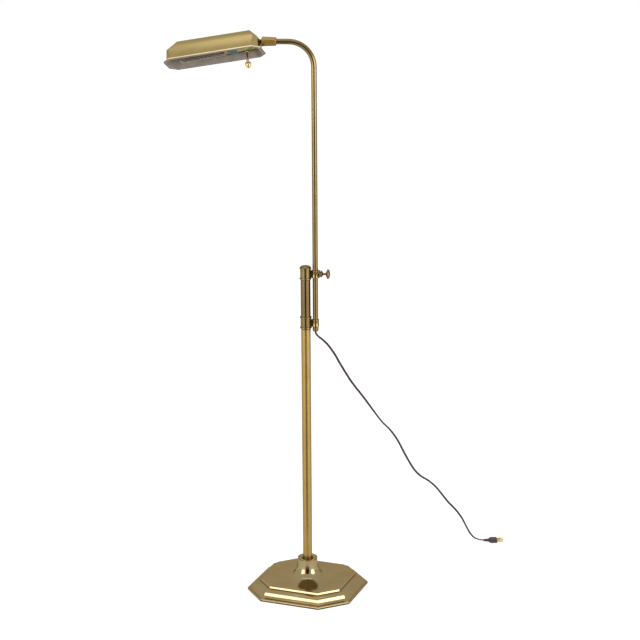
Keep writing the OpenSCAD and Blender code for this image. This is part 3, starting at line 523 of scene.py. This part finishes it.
def guide_casting(height, drilled):
    """The whole casting round the head tube and the rod, at a height over the floor."""
    sleeve = HEAD_R + 0.7
    body = barrel_solid("sleeve", [(0, -BEAD_SPAN - BEAD_R), (sleeve, -BEAD_SPAN - BEAD_R)]
                        + arc((HEAD_R + 0.4, -BEAD_SPAN), BEAD_R, -62, 62, 12)
                        + [(sleeve, -BEAD_SPAN + BEAD_R), (sleeve, BEAD_SPAN - BEAD_R)]
                        + arc((HEAD_R + 0.4, BEAD_SPAN), BEAD_R, -62, 62, 12)
                        + [(sleeve, BEAD_SPAN + BEAD_R), (0, BEAD_SPAN + BEAD_R)],
                        Matrix.Translation((0, 0, 1.1)), 96)
    web = bmesh.new()
    top, root = EYE_HALF - 0.5, EYE_HALF + 1.8
    shape = (sweep((HEAD_R - 2, root), (ROD_X - EYE_R - 1.5, top - 1), (ROD_X - 4, top), steps=10)
             + sweep((ROD_X - 4, -top), (ROD_X - EYE_R - 1.5, 1 - top), (HEAD_R - 2, -root), steps=10))
    flat = web.faces.new([web.verts.new((x, -WEB_HALF, z)) for x, z in shape])
    grown = bmesh.ops.extrude_face_region(web, geom=[flat])["geom"]
    bmesh.ops.translate(web, vec=(0, 2 * WEB_HALF, 0), verts=[g for g in grown if isinstance(g, bmesh.types.BMVert)])
    bmesh.ops.bevel(web, geom=[e for e in web.edges if abs(e.verts[0].co.y - e.verts[1].co.y) < 1e-4],
                    affect="EDGES", offset=1.3, segments=4, profile=0.5, material=-1)
    eye = barrel_solid("eye", [(0, -EYE_HALF)] + arc((EYE_R - 1.5, 1.5 - EYE_HALF), 1.5, -90, 0, 6)
                       + [(EYE_R - 0.3, 2.6 - EYE_HALF), (EYE_R - 0.3, -1.3)]
                       + arc((EYE_R - 0.7, 0), 0.7, -70, 70, 6)
                       + [(EYE_R - 0.3, 1.3), (EYE_R - 0.3, EYE_HALF - 2.6)]
                       + arc((EYE_R - 1.5, EYE_HALF - 1.5), 1.5, 0, 90, 6) + [(0, EYE_HALF)],
                       Matrix.Translation((ROD_X, 0, 0)))
    bores = [barrel_solid("tube_bore", [(0, -40), (HEAD_R + 0.02, -40), (HEAD_R + 0.02, 40), (0, 40)], steps=96),
             barrel_solid("rod_bore", [(0, -40), (BUSH_SEAT, -40), (BUSH_SEAT, 40), (0, 40)],
                          Matrix.Translation((ROD_X, 0, 0)))]
    parts = [loose("web", web), eye]
    if drilled:
        outward = Matrix.Translation((ROD_X, 0, 0)) @ TO_THE_RIGHT
        parts.append(barrel_solid("boss", [(0, 5), (BOSS_R - 1.6, 5)]
                                  + sweep((BOSS_R - 1.6, 5), (BOSS_R, 5.6), (BOSS_R, 7), steps=8)[1:]
                                  + arc((BOSS_R - 1.4, BOSS_REACH - 1.4), 1.4, 0, 90, 8)
                                  + [(0, BOSS_REACH)], outward))
        bores.append(barrel_solid("screw_bore", [(0, 0), (SCREW_HOLE, 0), (SCREW_HOLE, 30), (0, 30)], outward, 32))
    casting = fused(body, [(p, "UNION") for p in parts] + [(b, "DIFFERENCE") for b in bores])
    casting.transform(Matrix.Translation((0, 0, height)))
    return casting


for name, height, drilled in (("lower_guide", LOW_GUIDE, False), ("upper_guide", HIGH_GUIDE, True)):
    guide = made(name + "_casting", guide_casting(height, drilled), "stand", turned_brass,
                 crease=28)
    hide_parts(name)


# Bushes and pad: white nylon, moulded. The rod runs in the bushes, and the thumbscrew presses the pad on it
# so that the brass isn't marked.
nylon = moulded("nylon", colour(226, 222, 210), colour(202, 196, 180), 0.42)
for node in ("lower_bush", "upper_bush", "clamp_pad"):
    carried(node, nylon)


# Thumbscrew: turned and polished brass, with a collar, a thin neck and a flared round head. Its thread goes
# through the upper guide's boss.
THUMB_R, COLLAR_R, THUMB_LENGTH = 11.5, 8.3, 23.5
THREAD_R, THREAD_START, PITCH = 2.45, 8.9, 0.62
collar = BOSS_REACH + 1
tip = BOSS_REACH + THUMB_LENGTH
thumb = bmesh.new()
thread = []
for k in range(5):
    thread += [(THREAD_R, THREAD_START + PITCH * k), (THREAD_R - 0.3, THREAD_START + 0.31 + PITCH * k)]
spun(thumb, [(0, 8.7), (2.2, 8.7)] + thread + [(THREAD_R, collar), (COLLAR_R - 4, collar)]
     + sweep((COLLAR_R - 4, collar), (COLLAR_R, collar + 0.2), (COLLAR_R, collar + 2.2), steps=8)[1:]
     + sweep((COLLAR_R, collar + 2.2), (COLLAR_R, collar + 4.6), (2.9, collar + 5), (2.5, collar + 7.6))[1:]
     + sweep((2.5, collar + 11), (2.7, collar + 14.4), (THUMB_R, collar + 14.4), (THUMB_R, tip - 5))
     + sweep((THUMB_R, tip - 5), (THUMB_R, tip - 1.6), (THUMB_R - 5, tip), (0, tip))[1:], steps=72)
thumb = made("thumbscrew_turning", thumb, "thumbscrew", turned_brass,
             Matrix.Translation((ROD_X, 0, HIGH_GUIDE)) @ TO_THE_RIGHT)
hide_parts("thumbscrew")


# Nozzle: turned brass cup, pressed on the rod's lower end, which also stops the rod under the lower guide.
# A black bushing in it takes the strain of the lead.
NOZZLE_TIP, NOZZLE_R, NOZZLE_LENGTH = 645.25, 7.1, 11
nozzle = bmesh.new()
spun(nozzle, [(3.15, 3.0), (3.15, 0.5), (3.6, 0), (3.9, 0)]
     + sweep((3.9, 0), (6.6, 0.2), (NOZZLE_R, 2.6), (NOZZLE_R, 6.6))[1:]
     + [(NOZZLE_R, NOZZLE_LENGTH - 0.5)] + arc((NOZZLE_R - 0.4, NOZZLE_LENGTH - 0.4), 0.4, 0, 90, 4)
     + [(6.42, NOZZLE_LENGTH), (6.42, 5.0), (4.65, 5.0), (4.65, 3.0)], steps=64, closed=True)
nozzle = made("nozzle_turning", nozzle, "rod_end", turned_brass,
              Matrix.Translation((ROD_X, 0, NOZZLE_TIP)))
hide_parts("cord_nozzle")
black = moulded("black_plastic", colour(28, 27, 27), colour(52, 50, 48), 0.45)
for node in ("cord_bushing", "switch_body"):
    carried(node, black)


# Arm: half-inch brass tube that slides in the guides, bent over at the top, brushed along its length. The
# lead runs up inside it, and a threaded nipple and its nut hold the swivel on its end.
rod = brass("rod_brass", colour(120, 102, 68), colour(98, 79, 46), 0.2, 0.05, 0.0008, (1, 1, 1))
carried("arm_tube", rod)
carried("arm_lead", lead_pvc)
for node in ("arm_nipple", "nipple_nut", "ball_seat", "swivel_spring", "stem_nut"):
    carried(node, zinc)


# Swivel: an eight-sided tapered barrel in polished brass holds the shade's ball in its mouth, pressed by a
# spring and a seat. The ball and its short neck are darker brass.
BALL = (-92, 0, 1321.2)
BARREL_LENGTH, MOUTH_LEAD, BARREL_MOUTH, BARREL_END = 32.3, 2.5, 10.6, 9.3
MOUTH_BORE, MOUTH_DEPTH = 7.7, 9
barrel = bmesh.new()
flats = 1 / math.cos(math.radians(22.5))
end = bmesh.ops.create_circle(barrel, cap_ends=True, segments=8, radius=(BARREL_MOUTH - 0.7) * flats)["verts"]
bmesh.ops.rotate(barrel, cent=(0, 0, 0), matrix=Matrix.Rotation(math.radians(22.5), 3, "Z"), verts=end)
face = barrel.faces[:][0]
rings = [(-MOUTH_LEAD, BARREL_MOUTH - 0.7), (0.6 - MOUTH_LEAD, BARREL_MOUTH - 0.15), (2 - MOUTH_LEAD, BARREL_MOUTH),
         (BARREL_LENGTH - MOUTH_LEAD - 1.2, BARREL_END + 0.05), (BARREL_LENGTH - MOUTH_LEAD, BARREL_END - 0.7)]
bmesh.ops.translate(barrel, vec=(0, 0, rings[0][0]), verts=end)
for (z0, r0), (z1, r1) in zip(rings[:-1], rings[1:]):
    grown = bmesh.ops.extrude_face_region(barrel, geom=[face])["geom"]
    bmesh.ops.delete(barrel, geom=[face], context="FACES_ONLY")
    face = [g for g in grown if isinstance(g, bmesh.types.BMFace)][0]
    bmesh.ops.translate(barrel, vec=(0, 0, z1 - z0), verts=face.verts[:])
    bmesh.ops.scale(barrel, vec=(r1 / r0, r1 / r0, 1), verts=face.verts[:])
mouth = bmesh.ops.edgeloop_fill(barrel, edges=[e for e in barrel.edges if e.is_boundary])["faces"]
bmesh.ops.recalc_face_normals(barrel, faces=barrel.faces)
bmesh.ops.inset_individual(barrel, faces=mouth, thickness=BARREL_MOUTH - 0.7 - MOUTH_BORE, use_even_offset=True)
bmesh.ops.inset_individual(barrel, faces=mouth, thickness=0.001, depth=-MOUTH_DEPTH, use_even_offset=True)
bmesh.ops.bevel(barrel, geom=[e for e in barrel.edges if e.calc_length() > 20], affect="EDGES", offset=0.45,
                segments=3, profile=0.5, material=-1)
barrel_place = Matrix.Translation(BALL) @ TO_THE_RIGHT
barrel_brass = brass("barrel_brass", colour(146, 118, 66), colour(114, 88, 44), 0.44, 0.05, 0.001, (0.04, 1, 1))
barrel = made("swivel_barrel_turning", barrel, "swivel", barrel_brass, barrel_place, crease=22)
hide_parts("swivel_barrel")
carried("swivel_ball", dark)


# Shade: a trough of satin brass sheet with vaulted sides, two-part end walls and cut corners, all mitred,
# and a folded rim. Inside it is sprayed white, and that white is painted grey as painted shade for the trough's
# inside.
SHADE_LENGTH, SHADE_WIDTH, SHADE_HEIGHT, SHADE_CLIP = 230, 76, 54, 17
RIDGE, SHOULDER, RIM_WIDTH, RIM_THICK, WALL = 172, 30, 6.5, 2.8, 1.2
EDGE_RING, BLANK = 1.1, 140
BALL_OUT, BALL_UP, LEAN = 116, 22, math.radians(2.5)
END_LEAN = math.tan(LEAN)
TURNED = (Matrix.Rotation(math.radians(-5), 4, "Z") @ Matrix.Rotation(math.radians(-9.5), 4, "Y")
          @ Matrix.Rotation(math.radians(-26), 4, "X"))
SHADE_PLACE = Matrix.Translation(BALL) @ TURNED @ Matrix.Translation((-BALL_OUT, 0, -BALL_UP))
CORNER = (SHADE_LENGTH / 2 + SHADE_WIDTH / 2 - SHADE_CLIP) / math.sqrt(2)
TO_SHADE = TURNED.to_3x3().transposed().to_euler("XYZ")


def vault(inset, drop):
    """The trough as a closed solid, its skin set in by the wall inside. Each end and corner is sawn off."""
    mesh = bmesh.new()
    foot = RIM_THICK
    half = SHADE_WIDTH / 2 - RIM_WIDTH - inset
    peak = SHADE_HEIGHT - drop
    side = sweep((half, foot), (half - 1.5, foot + SHADE_HEIGHT * 0.43 - drop * 0.3),
                 (SHADE_WIDTH * 0.27 - inset * 0.6, SHADE_HEIGHT * 0.88 - drop), (0, peak), steps=28)
    shape = side + [(-y, z) for y, z in reversed(side[:-1])]
    section = mesh.faces.new([mesh.verts.new((-BLANK, y, z)) for y, z in shape])
    grown = bmesh.ops.extrude_face_region(mesh, geom=[section])["geom"]
    bmesh.ops.translate(mesh, vec=(2 * BLANK, 0, 0), verts=[g for g in grown if isinstance(g, bmesh.types.BMVert)])
    shoulder = SHOULDER - drop * 0.5
    start = RIM_WIDTH + (shoulder - foot) * END_LEAN + inset
    cuts = []
    for reach, turns, top in ((SHADE_LENGTH / 2, (0, 180), (SHADE_LENGTH - RIDGE) / 2 + drop * 0.3),
                              (CORNER, (45, 135, 225, 315), CORNER - RIDGE / 2 / math.sqrt(2) - 0.3 + drop * 0.1)):
        for turn in turns:
            out = Vector((math.cos(math.radians(turn)), math.sin(math.radians(turn)), 0))
            rise = Vector((0, 0, 1))
            for (in0, z0), (in1, z1) in (((RIM_WIDTH + inset, foot), (start, shoulder)),
                                         ((start, shoulder), (top, peak))):
                slope = out * (z1 - z0) + rise * (in1 - in0)
                cuts.append((out * (reach - in0) + rise * z0, slope.normalized()))
    for at, facing in cuts:
        cut = bmesh.ops.bisect_plane(mesh, geom=mesh.verts[:] + mesh.edges[:] + mesh.faces[:], plane_co=at,
                                     plane_no=facing, clear_outer=True, dist=0.0005)
        rim = [g for g in cut["geom_cut"] if isinstance(g, bmesh.types.BMEdge)]
        bmesh.ops.edgeloop_fill(mesh, edges=rim)
    bmesh.ops.remove_doubles(mesh, verts=mesh.verts, dist=0.01)
    bmesh.ops.recalc_face_normals(mesh, faces=mesh.faces)
    floor = [f for f in mesh.faces if f.normal.z < -0.99]
    bmesh.ops.delete(mesh, geom=floor, context="FACES_ONLY")
    return mesh


shade_brass = brass("shade_satin", colour(158, 140, 92), colour(132, 112, 64), 0.3, 0.05, 0.0011, (0.02, 1, 1),
                    tuple(TO_SHADE))
# Painted highlight: the rim's brass is much paler than the shade's, so that its folded edge shows a bright line.
rim_painted_highlight = brass("rim_painted_highlight", colour(238, 216, 180), colour(206, 180, 134), 0.2, 0.05, 0.0011, (1, 1, 1))
# Painted shade: the white enamel is given a grey colour, which stands in for the shade inside the trough.
SHADED_SPRAY, THIN_SHADED_SPRAY = colour(150, 139, 128), colour(122, 111, 100)
enamel, tree, shader = bare_finish("white_enamel", SHADED_SPRAY, 0.3, coat=0.4, coat_rough=0.15)
drips = stretched(tree, mottle(tree, 0.02, detail=4), 0.4, 0.7, 0, 0.6)
tree.links.new(tinted(tree, drips, SHADED_SPRAY, THIN_SHADED_SPRAY), shader.inputs["Base Color"])
dented(tree, shader, mottle(tree, 0.0016), 0.2, 0.00008)

shade = vault(0, 0)
for f in shade.faces:
    f.material_index = 0
inside = vault(WALL, WALL * 1.3)
bmesh.ops.reverse_faces(inside, faces=inside.faces)
for f in inside.faces:
    f.material_index = 1
spare = bpy.data.meshes.new("inner_skin")
inside.to_mesh(spare)
inside.free()
shade.from_mesh(spare)
bpy.data.meshes.remove(spare)
rim_top = clipped(shade, SHADE_LENGTH, SHADE_WIDTH, SHADE_CLIP, 0)
before = set(shade.faces)
hem = stepped(shade, rim_top, [(0, 0), (0, 0.5), (0, RIM_THICK - 0.7), (0.2, RIM_THICK - 0.2), (0.7, RIM_THICK),
                               (RIM_WIDTH + 0.25, RIM_THICK)])
for f in shade.faces:
    if f not in before:
        f.material_index = 2
hem.material_index = 0
bmesh.ops.delete(shade, geom=[hem], context="FACES_ONLY")
bottom = clipped(shade, SHADE_LENGTH, SHADE_WIDTH, SHADE_CLIP, 0)
bottom.material_index = 1
# Painted shade: a thin ring round the rim's underside takes the dark brass, as a dark line along the far rim.
painted_shade_ring = bmesh.ops.inset_individual(shade, faces=[bottom], thickness=EDGE_RING, depth=0,
                                       use_even_offset=True)["faces"]
for f in painted_shade_ring:
    f.material_index = 3
bmesh.ops.inset_individual(shade, faces=[bottom], thickness=RIM_WIDTH + WALL - EDGE_RING, depth=0,
                           use_even_offset=True)
drop_face = bmesh.ops.extrude_face_region(shade, geom=[bottom])["geom"]
bmesh.ops.delete(shade, geom=[bottom], context="FACES_ONLY")
lifted = [g for g in drop_face if isinstance(g, bmesh.types.BMFace)][0]
bmesh.ops.translate(shade, vec=(0, 0, RIM_THICK + 0.2), verts=lifted.verts[:])
bmesh.ops.delete(shade, geom=[lifted], context="FACES_ONLY")
bmesh.ops.remove_doubles(shade, verts=shade.verts, dist=0.002)
shade = made("shade_trough", shade, "shade", shade_brass, SHADE_PLACE, crease=20, recalc=False)
for finish in (enamel, rim_painted_highlight, dark):
    shade.data.materials.append(finish)
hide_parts("shade_shell")


# Lamp holder: drawn brass cap and shell with rolled beads, a blue-green card band round it, and a brown card
# liner that shows at the mouth. The screw shell and contact sit inside.
STEM_PLACE = Matrix.Translation(BALL) @ TURNED @ Matrix.Rotation(-math.pi / 2 - LEAN, 4, "Y")
HOLDER_R, HOLDER_MOUTH = 15, 88
WALL_S = ((BALL_OUT - SHADE_LENGTH / 2 + RIM_WIDTH) * math.cos(LEAN)
          + (BALL_UP - RIM_THICK) * math.sin(LEAN))
CAP_S = WALL_S + WALL + 3.1
SHELL_S = CAP_S + 18
holder_brass = brass("holder_brass", colour(140, 131, 76), colour(108, 95, 48), 0.24, 0.05, 0.0012, (1, 1, 1))
cap = bmesh.new()
spun(cap, [(4.95, 0), (6.6, 0), (6.6, 3.4)]
     + sweep((6.6, 3.4), (7.4, 4.4), (HOLDER_R - 2, 5), (HOLDER_R + 0.4, 8), (HOLDER_R + 0.4, 12))[1:]
     + [(HOLDER_R + 0.4, 15)] + arc((HOLDER_R + 0.2, 16.4), 0.6, -60, 60, 6) + [(HOLDER_R + 0.1, 17.9)]
     + [(HOLDER_R - 0.6, 17.9), (HOLDER_R - 0.6, 11), (HOLDER_R - 3.4, 7), (4.95, 6)], steps=72, closed=True)
cap = made("holder_cap", cap, "shade", holder_brass, STEM_PLACE @ Matrix.Translation((0, 0, CAP_S)))
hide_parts("socket_cap")
shell = bmesh.new()
spun(shell, [(HOLDER_R - 0.7, SHELL_S), (HOLDER_R - 0.1, SHELL_S), (HOLDER_R, SHELL_S + 1),
             (HOLDER_R, SHELL_S + 2.8)]
     + arc((HOLDER_R - 0.2, SHELL_S + 4), 0.9, -70, 70, 10)
     + [(HOLDER_R, SHELL_S + 5.2), (HOLDER_R, HOLDER_MOUTH - 5)]
     + arc((HOLDER_R - 0.1, HOLDER_MOUTH - 3.6), 0.7, -70, 70, 8) + [(HOLDER_R, HOLDER_MOUTH - 2.6)]
     + arc((HOLDER_R - 0.3, HOLDER_MOUTH - 0.4), 0.35, 0, 90, 4)
     + [(HOLDER_R - 0.7, HOLDER_MOUTH)], steps=72, closed=True)
shell = made("holder_shell", shell, "shade", holder_brass, STEM_PLACE)
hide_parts("socket_shell")


def card(name, base, faded):
    """Pressed card: matt, with short fibres in two tones."""
    finish, tree, shader = bare_finish(name, base, 0.7)
    fibres = mottle(tree, 0.0007, (1, 1, 0.3), detail=6)
    tree.links.new(tinted(tree, stretched(tree, fibres, 0.35, 0.7, 0, 0.8), base, faded), shader.inputs["Base Color"])
    dented(tree, shader, fibres, 0.4, 0.00006)
    return finish


carried("socket_band", card("band_card", colour(44, 76, 86), colour(66, 100, 108)))
carried("socket_liner", card("liner_card", colour(124, 82, 48), colour(152, 106, 66)))
for node in ("screw_shell", "center_contact"):
    carried(node, blade_brass)


# Switch key: a turned brass pin with a small bead and an acorn knob, which stands out through the shade's
# open side, so that the fingers find it.
KEY_S, KEY_REACH, KNOB_R, PIN_R = 40, 58, 7, 2.4
bead = KEY_REACH - 21.5
key = bmesh.new()
spun(key, [(0, 7), (PIN_R, 7), (PIN_R, HOLDER_R + 0.4), (3.6, HOLDER_R + 0.4), (3.6, HOLDER_R + 1.6),
           (PIN_R, HOLDER_R + 2.6), (PIN_R, bead)]
     + sweep((PIN_R, bead), (3.9, bead + 0.2), (3.9, bead + 4.2), (2.6, bead + 4.8), steps=10)[1:]
     + sweep((2.6, bead + 5.2), (KNOB_R - 0.6, bead + 5.4), (KNOB_R, bead + 8), (KNOB_R, bead + 10.5))
     + sweep((KNOB_R, bead + 10.5), (KNOB_R, bead + 15), (3, bead + 18.4), (0, bead + 21.5))[1:], steps=56)
key_brass = brass("key_brass", colour(208, 178, 124), colour(158, 126, 72), 0.16, 0.04, 0.001, (1, 1, 1))
key = made("switch_key_turning", key, "switch_key", key_brass,
           STEM_PLACE @ Matrix.Translation((0, 0, KEY_S)) @ Matrix.Rotation(math.radians(-90), 4, "Y"))
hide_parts("switch_key")


# Bulb: a clear tubular lamp, screwed in. The blown glass holds a glass stem, thin support wires and one long
# coiled filament, and its cap is tinned brass.
BULB_R, BULB_TIP, NECK_S, NECK_R, BLOWN = 14, 201, 86, 12.7, 0.8
CAGE_R, SUPPORTS, SUPPORT_R, FILAMENT_R = 7.4, 5, 0.22, 0.3
WIRE_LEVEL = (0.31, 0.77, 0.2)
carried("bulb_base", plated("tinned_cap", colour(190, 188, 180), colour(150, 146, 136), 0.3))
glass, tree, shader = bare_finish("clear_glass", colour(216, 209, 198), 0.02)
shader.inputs["Specular Tint"].default_value = colour(158, 150, 140)
shader.inputs["Transmission Weight"].default_value = 1.0
shader.inputs["IOR"].default_value = 1.48
tree.links.new(stretched(tree, mottle(tree, 0.02, detail=4), 0.3, 0.8, 0.01, 0.07), shader.inputs["Roughness"])
dented(tree, shader, mottle(tree, 0.03), 0.1, 0.0002)
bulb = bmesh.new()
outer = (sweep((NECK_R, NECK_S), (NECK_R, NECK_S + 8), (BULB_R, NECK_S + 6), (BULB_R, NECK_S + 16))
         + sweep((BULB_R, BULB_TIP - 14), (BULB_R, BULB_TIP - 4), (BULB_R - 6, BULB_TIP), (0, BULB_TIP), steps=20))
inner = (sweep((0, BULB_TIP - BLOWN), (BULB_R - 6.6, BULB_TIP - BLOWN), (BULB_R - BLOWN, BULB_TIP - 4.8),
               (BULB_R - BLOWN, BULB_TIP - 14), steps=20)
         + sweep((BULB_R - BLOWN, NECK_S + 16), (BULB_R - BLOWN, NECK_S + 7), (NECK_R - BLOWN, NECK_S + 8),
                 (NECK_R - BLOWN, NECK_S)))
spun(bulb, outer + inner + [outer[0]], steps=72)
bulb = made("bulb_envelope", bulb, "shade", glass, STEM_PLACE)
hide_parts("bulb_glass")

wire = plated("support_wire", colour(168, 164, 158), colour(120, 114, 106), 0.3, 0.001)
stem = bmesh.new()
spun(stem, [(0, NECK_S), (5.5, NECK_S), (3.6, NECK_S + 6), (2.6, NECK_S + 14), (3.2, NECK_S + 17), (1.6, NECK_S + 19),
            (1.1, NECK_S + 22), (1.1, BULB_TIP - 20), (1.5, BULB_TIP - 18), (0, BULB_TIP - 17)], steps=24)
stem = made("bulb_stem", stem, "shade", glass, STEM_PLACE)
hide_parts("bulb_filament")


def drawn_wire(mesh, points, radius, sides=6):
    """A wire of round section through the points."""
    route = [Vector(p) for p in points]
    loop = bmesh.ops.create_circle(mesh, cap_ends=False, segments=sides, radius=radius)["verts"]
    edges = list({e for v in loop for e in v.link_edges})
    here = ring_place(route[0], (route[1] - route[0]).normalized(), 0, WIRE_LEVEL)
    bmesh.ops.transform(mesh, matrix=here, verts=loop)
    mesh.faces.new(loop)
    for k in range(1, len(route)):
        way = (route[min(k + 1, len(route) - 1)] - route[k - 1]).normalized()
        grown = bmesh.ops.extrude_edge_only(mesh, edges=edges)["geom"]
        loop = [g for g in grown if isinstance(g, bmesh.types.BMVert)]
        edges = [g for g in grown if isinstance(g, bmesh.types.BMEdge)]
        there = ring_place(route[k], way, 0, WIRE_LEVEL)
        bmesh.ops.transform(mesh, matrix=there @ here.inverted(), verts=loop)
        here = there
    bmesh.ops.edgeloop_fill(mesh, edges=edges)


wires = bmesh.new()
low, high = NECK_S + 24, BULB_TIP - 22
zigzag = []
for t in range(SUPPORTS):
    a = math.tau * t / SUPPORTS
    for z in (low, high):
        drawn_wire(wires, [(0.9 * math.cos(a), 0.9 * math.sin(a), z), (4 * math.cos(a), 4 * math.sin(a), z + 0.5),
                           (CAGE_R * math.cos(a), CAGE_R * math.sin(a), z)], SUPPORT_R)
    zigzag += [Vector((CAGE_R * math.cos(a), CAGE_R * math.sin(a), (low, high)[(t + k) % 2])) for k in (0, 1)]
for a, b in zip(zigzag[:-1], zigzag[1:]):
    if (a - b).length > high - low - 1:
        drawn_wire(wires, [a.lerp(b, k / 6) for k in range(7)], FILAMENT_R)
wires = made("bulb_wires", wires, "shade", wire, STEM_PLACE, crease=60)


# Studio: a white floor that runs out of sight, two soft boxes in front of the lamp and one over it. A dark
# curtain and grey cloths on the floor, in front and behind, are what the brass shows as its dark streaks.
ROOM, CLOTH_LIFT, CURTAIN_AWAY = 14, 0.002, -5.2
WORLD_LIGHT, PAPER_GLOW = 0.55, 0.55


def seen_rays(tree):
    """1 where the camera, or a mirror or glass, looks straight at this surface; 0 for its light."""
    rays = tree.nodes.new("ShaderNodeLightPath")
    value = rays.outputs["Is Camera Ray"]
    for kind in ("Is Glossy Ray", "Is Transmission Ray"):
        either = tree.nodes.new("ShaderNodeMath")
        either.operation = "MAXIMUM"
        tree.links.new(value, either.inputs[0])
        tree.links.new(rays.outputs[kind], either.inputs[1])
        value = either.outputs["Value"]
    return value


def staged(name, mesh, finish):
    """A piece of the studio."""
    data = bpy.data.meshes.new(name)
    mesh.to_mesh(data)
    mesh.free()
    data.materials.append(finish)
    piece = bpy.data.objects.new(name, data)
    bpy.context.scene.collection.objects.link(piece)
    return piece


paper, tree, shader = bare_finish("white_paper", (0.86, 0.86, 0.86, 1), 0.8)
shader.inputs["Specular IOR Level"].default_value = 0.1
glow = tree.nodes.new("ShaderNodeEmission")
glow.inputs["Color"].default_value = (1, 1, 1, 1)
tree.links.new(stretched(tree, seen_rays(tree), 0, 1, 0, PAPER_GLOW), glow.inputs["Strength"])
both = tree.nodes.new("ShaderNodeAddShader")
tree.links.new(shader.outputs["BSDF"], both.inputs[0])
tree.links.new(glow.outputs["Emission"], both.inputs[1])
tree.links.new(both.outputs["Shader"], tree.nodes["Material Output"].inputs["Surface"])
sheet = bmesh.new()
bmesh.ops.create_grid(sheet, x_segments=1, y_segments=1, size=ROOM)
staged("floor", sheet, paper)

world = bpy.data.worlds.new("studio")
bpy.context.scene.world = world
world.use_nodes = True
tree = world.node_tree
plain = tree.nodes["Background"]
plain.inputs["Color"].default_value = (1, 1, 1, 1)
plain.inputs["Strength"].default_value = WORLD_LIGHT
bright = tree.nodes.new("ShaderNodeBackground")
bright.inputs["Color"].default_value = (1, 1, 1, 1)
bright.inputs["Strength"].default_value = 1.0
choice = tree.nodes.new("ShaderNodeMixShader")
tree.links.new(seen_rays(tree), choice.inputs["Fac"])
tree.links.new(plain.outputs["Background"], choice.inputs[1])
tree.links.new(bright.outputs["Background"], choice.inputs[2])
tree.links.new(choice.outputs["Shader"], tree.nodes["World Output"].inputs["Surface"])


def soft_box(name, at, look, width, height, power):
    """A soft box that faces a point; the camera doesn't see it, and metal does."""
    box = bpy.data.lights.new(name, "AREA")
    box.shape = "RECTANGLE"
    box.size = width
    box.size_y = height
    box.energy = power
    lamp = bpy.data.objects.new(name, box)
    lamp.matrix_world = (Matrix.Translation(at)
                         @ (Vector(look) - Vector(at)).to_track_quat("-Z", "Y").to_matrix().to_4x4())
    lamp.visible_camera = False
    bpy.context.scene.collection.objects.link(lamp)


soft_box("left_box", (-3.25, -3.55, 1.36), (0, 0, 0.1), 2.5, 2.4, 102)
soft_box("right_box", (4.08, -2.55, 1.36), (0, 0, 0.1), 2.5, 2.4, 132)
soft_box("top_box", (-0.2, 0.0, 3.2), (-0.2, 0, 0.5), 1.8, 1.2, 8)

black_cloth = bare_finish("black_cloth", colour(24, 24, 24), 0.95)[0]
grey_cloth = bare_finish("grey_cloth", colour(86, 84, 80), 0.95)[0]
for name, finish, corners in (
        ("dark_floor", grey_cloth, [(-0.12, -0.36, CLOTH_LIFT), (0.16, -0.36, CLOTH_LIFT),
                                    (1.9, CURTAIN_AWAY, CLOTH_LIFT), (-1.3, CURTAIN_AWAY, CLOTH_LIFT)]),
        ("grey_floor", grey_cloth, [(-0.5, 0.4, CLOTH_LIFT), (0.5, 0.4, CLOTH_LIFT),
                                    (3.6, 5.4, CLOTH_LIFT), (-3.6, 5.4, CLOTH_LIFT)]),
        ("dark_curtain", black_cloth, [(-1.3, CURTAIN_AWAY, 0), (1.9, CURTAIN_AWAY, 0),
                                       (1.9, CURTAIN_AWAY, 3.3), (-1.3, CURTAIN_AWAY, 3.3)])):
    sheet = bmesh.new()
    sheet.faces.new([sheet.verts.new(c) for c in corners])
    flag = staged(name, sheet, finish)
    flag.visible_camera = flag.visible_shadow = flag.visible_diffuse = flag.visible_transmission = False

bpy.context.scene.view_settings.view_transform = "Standard"
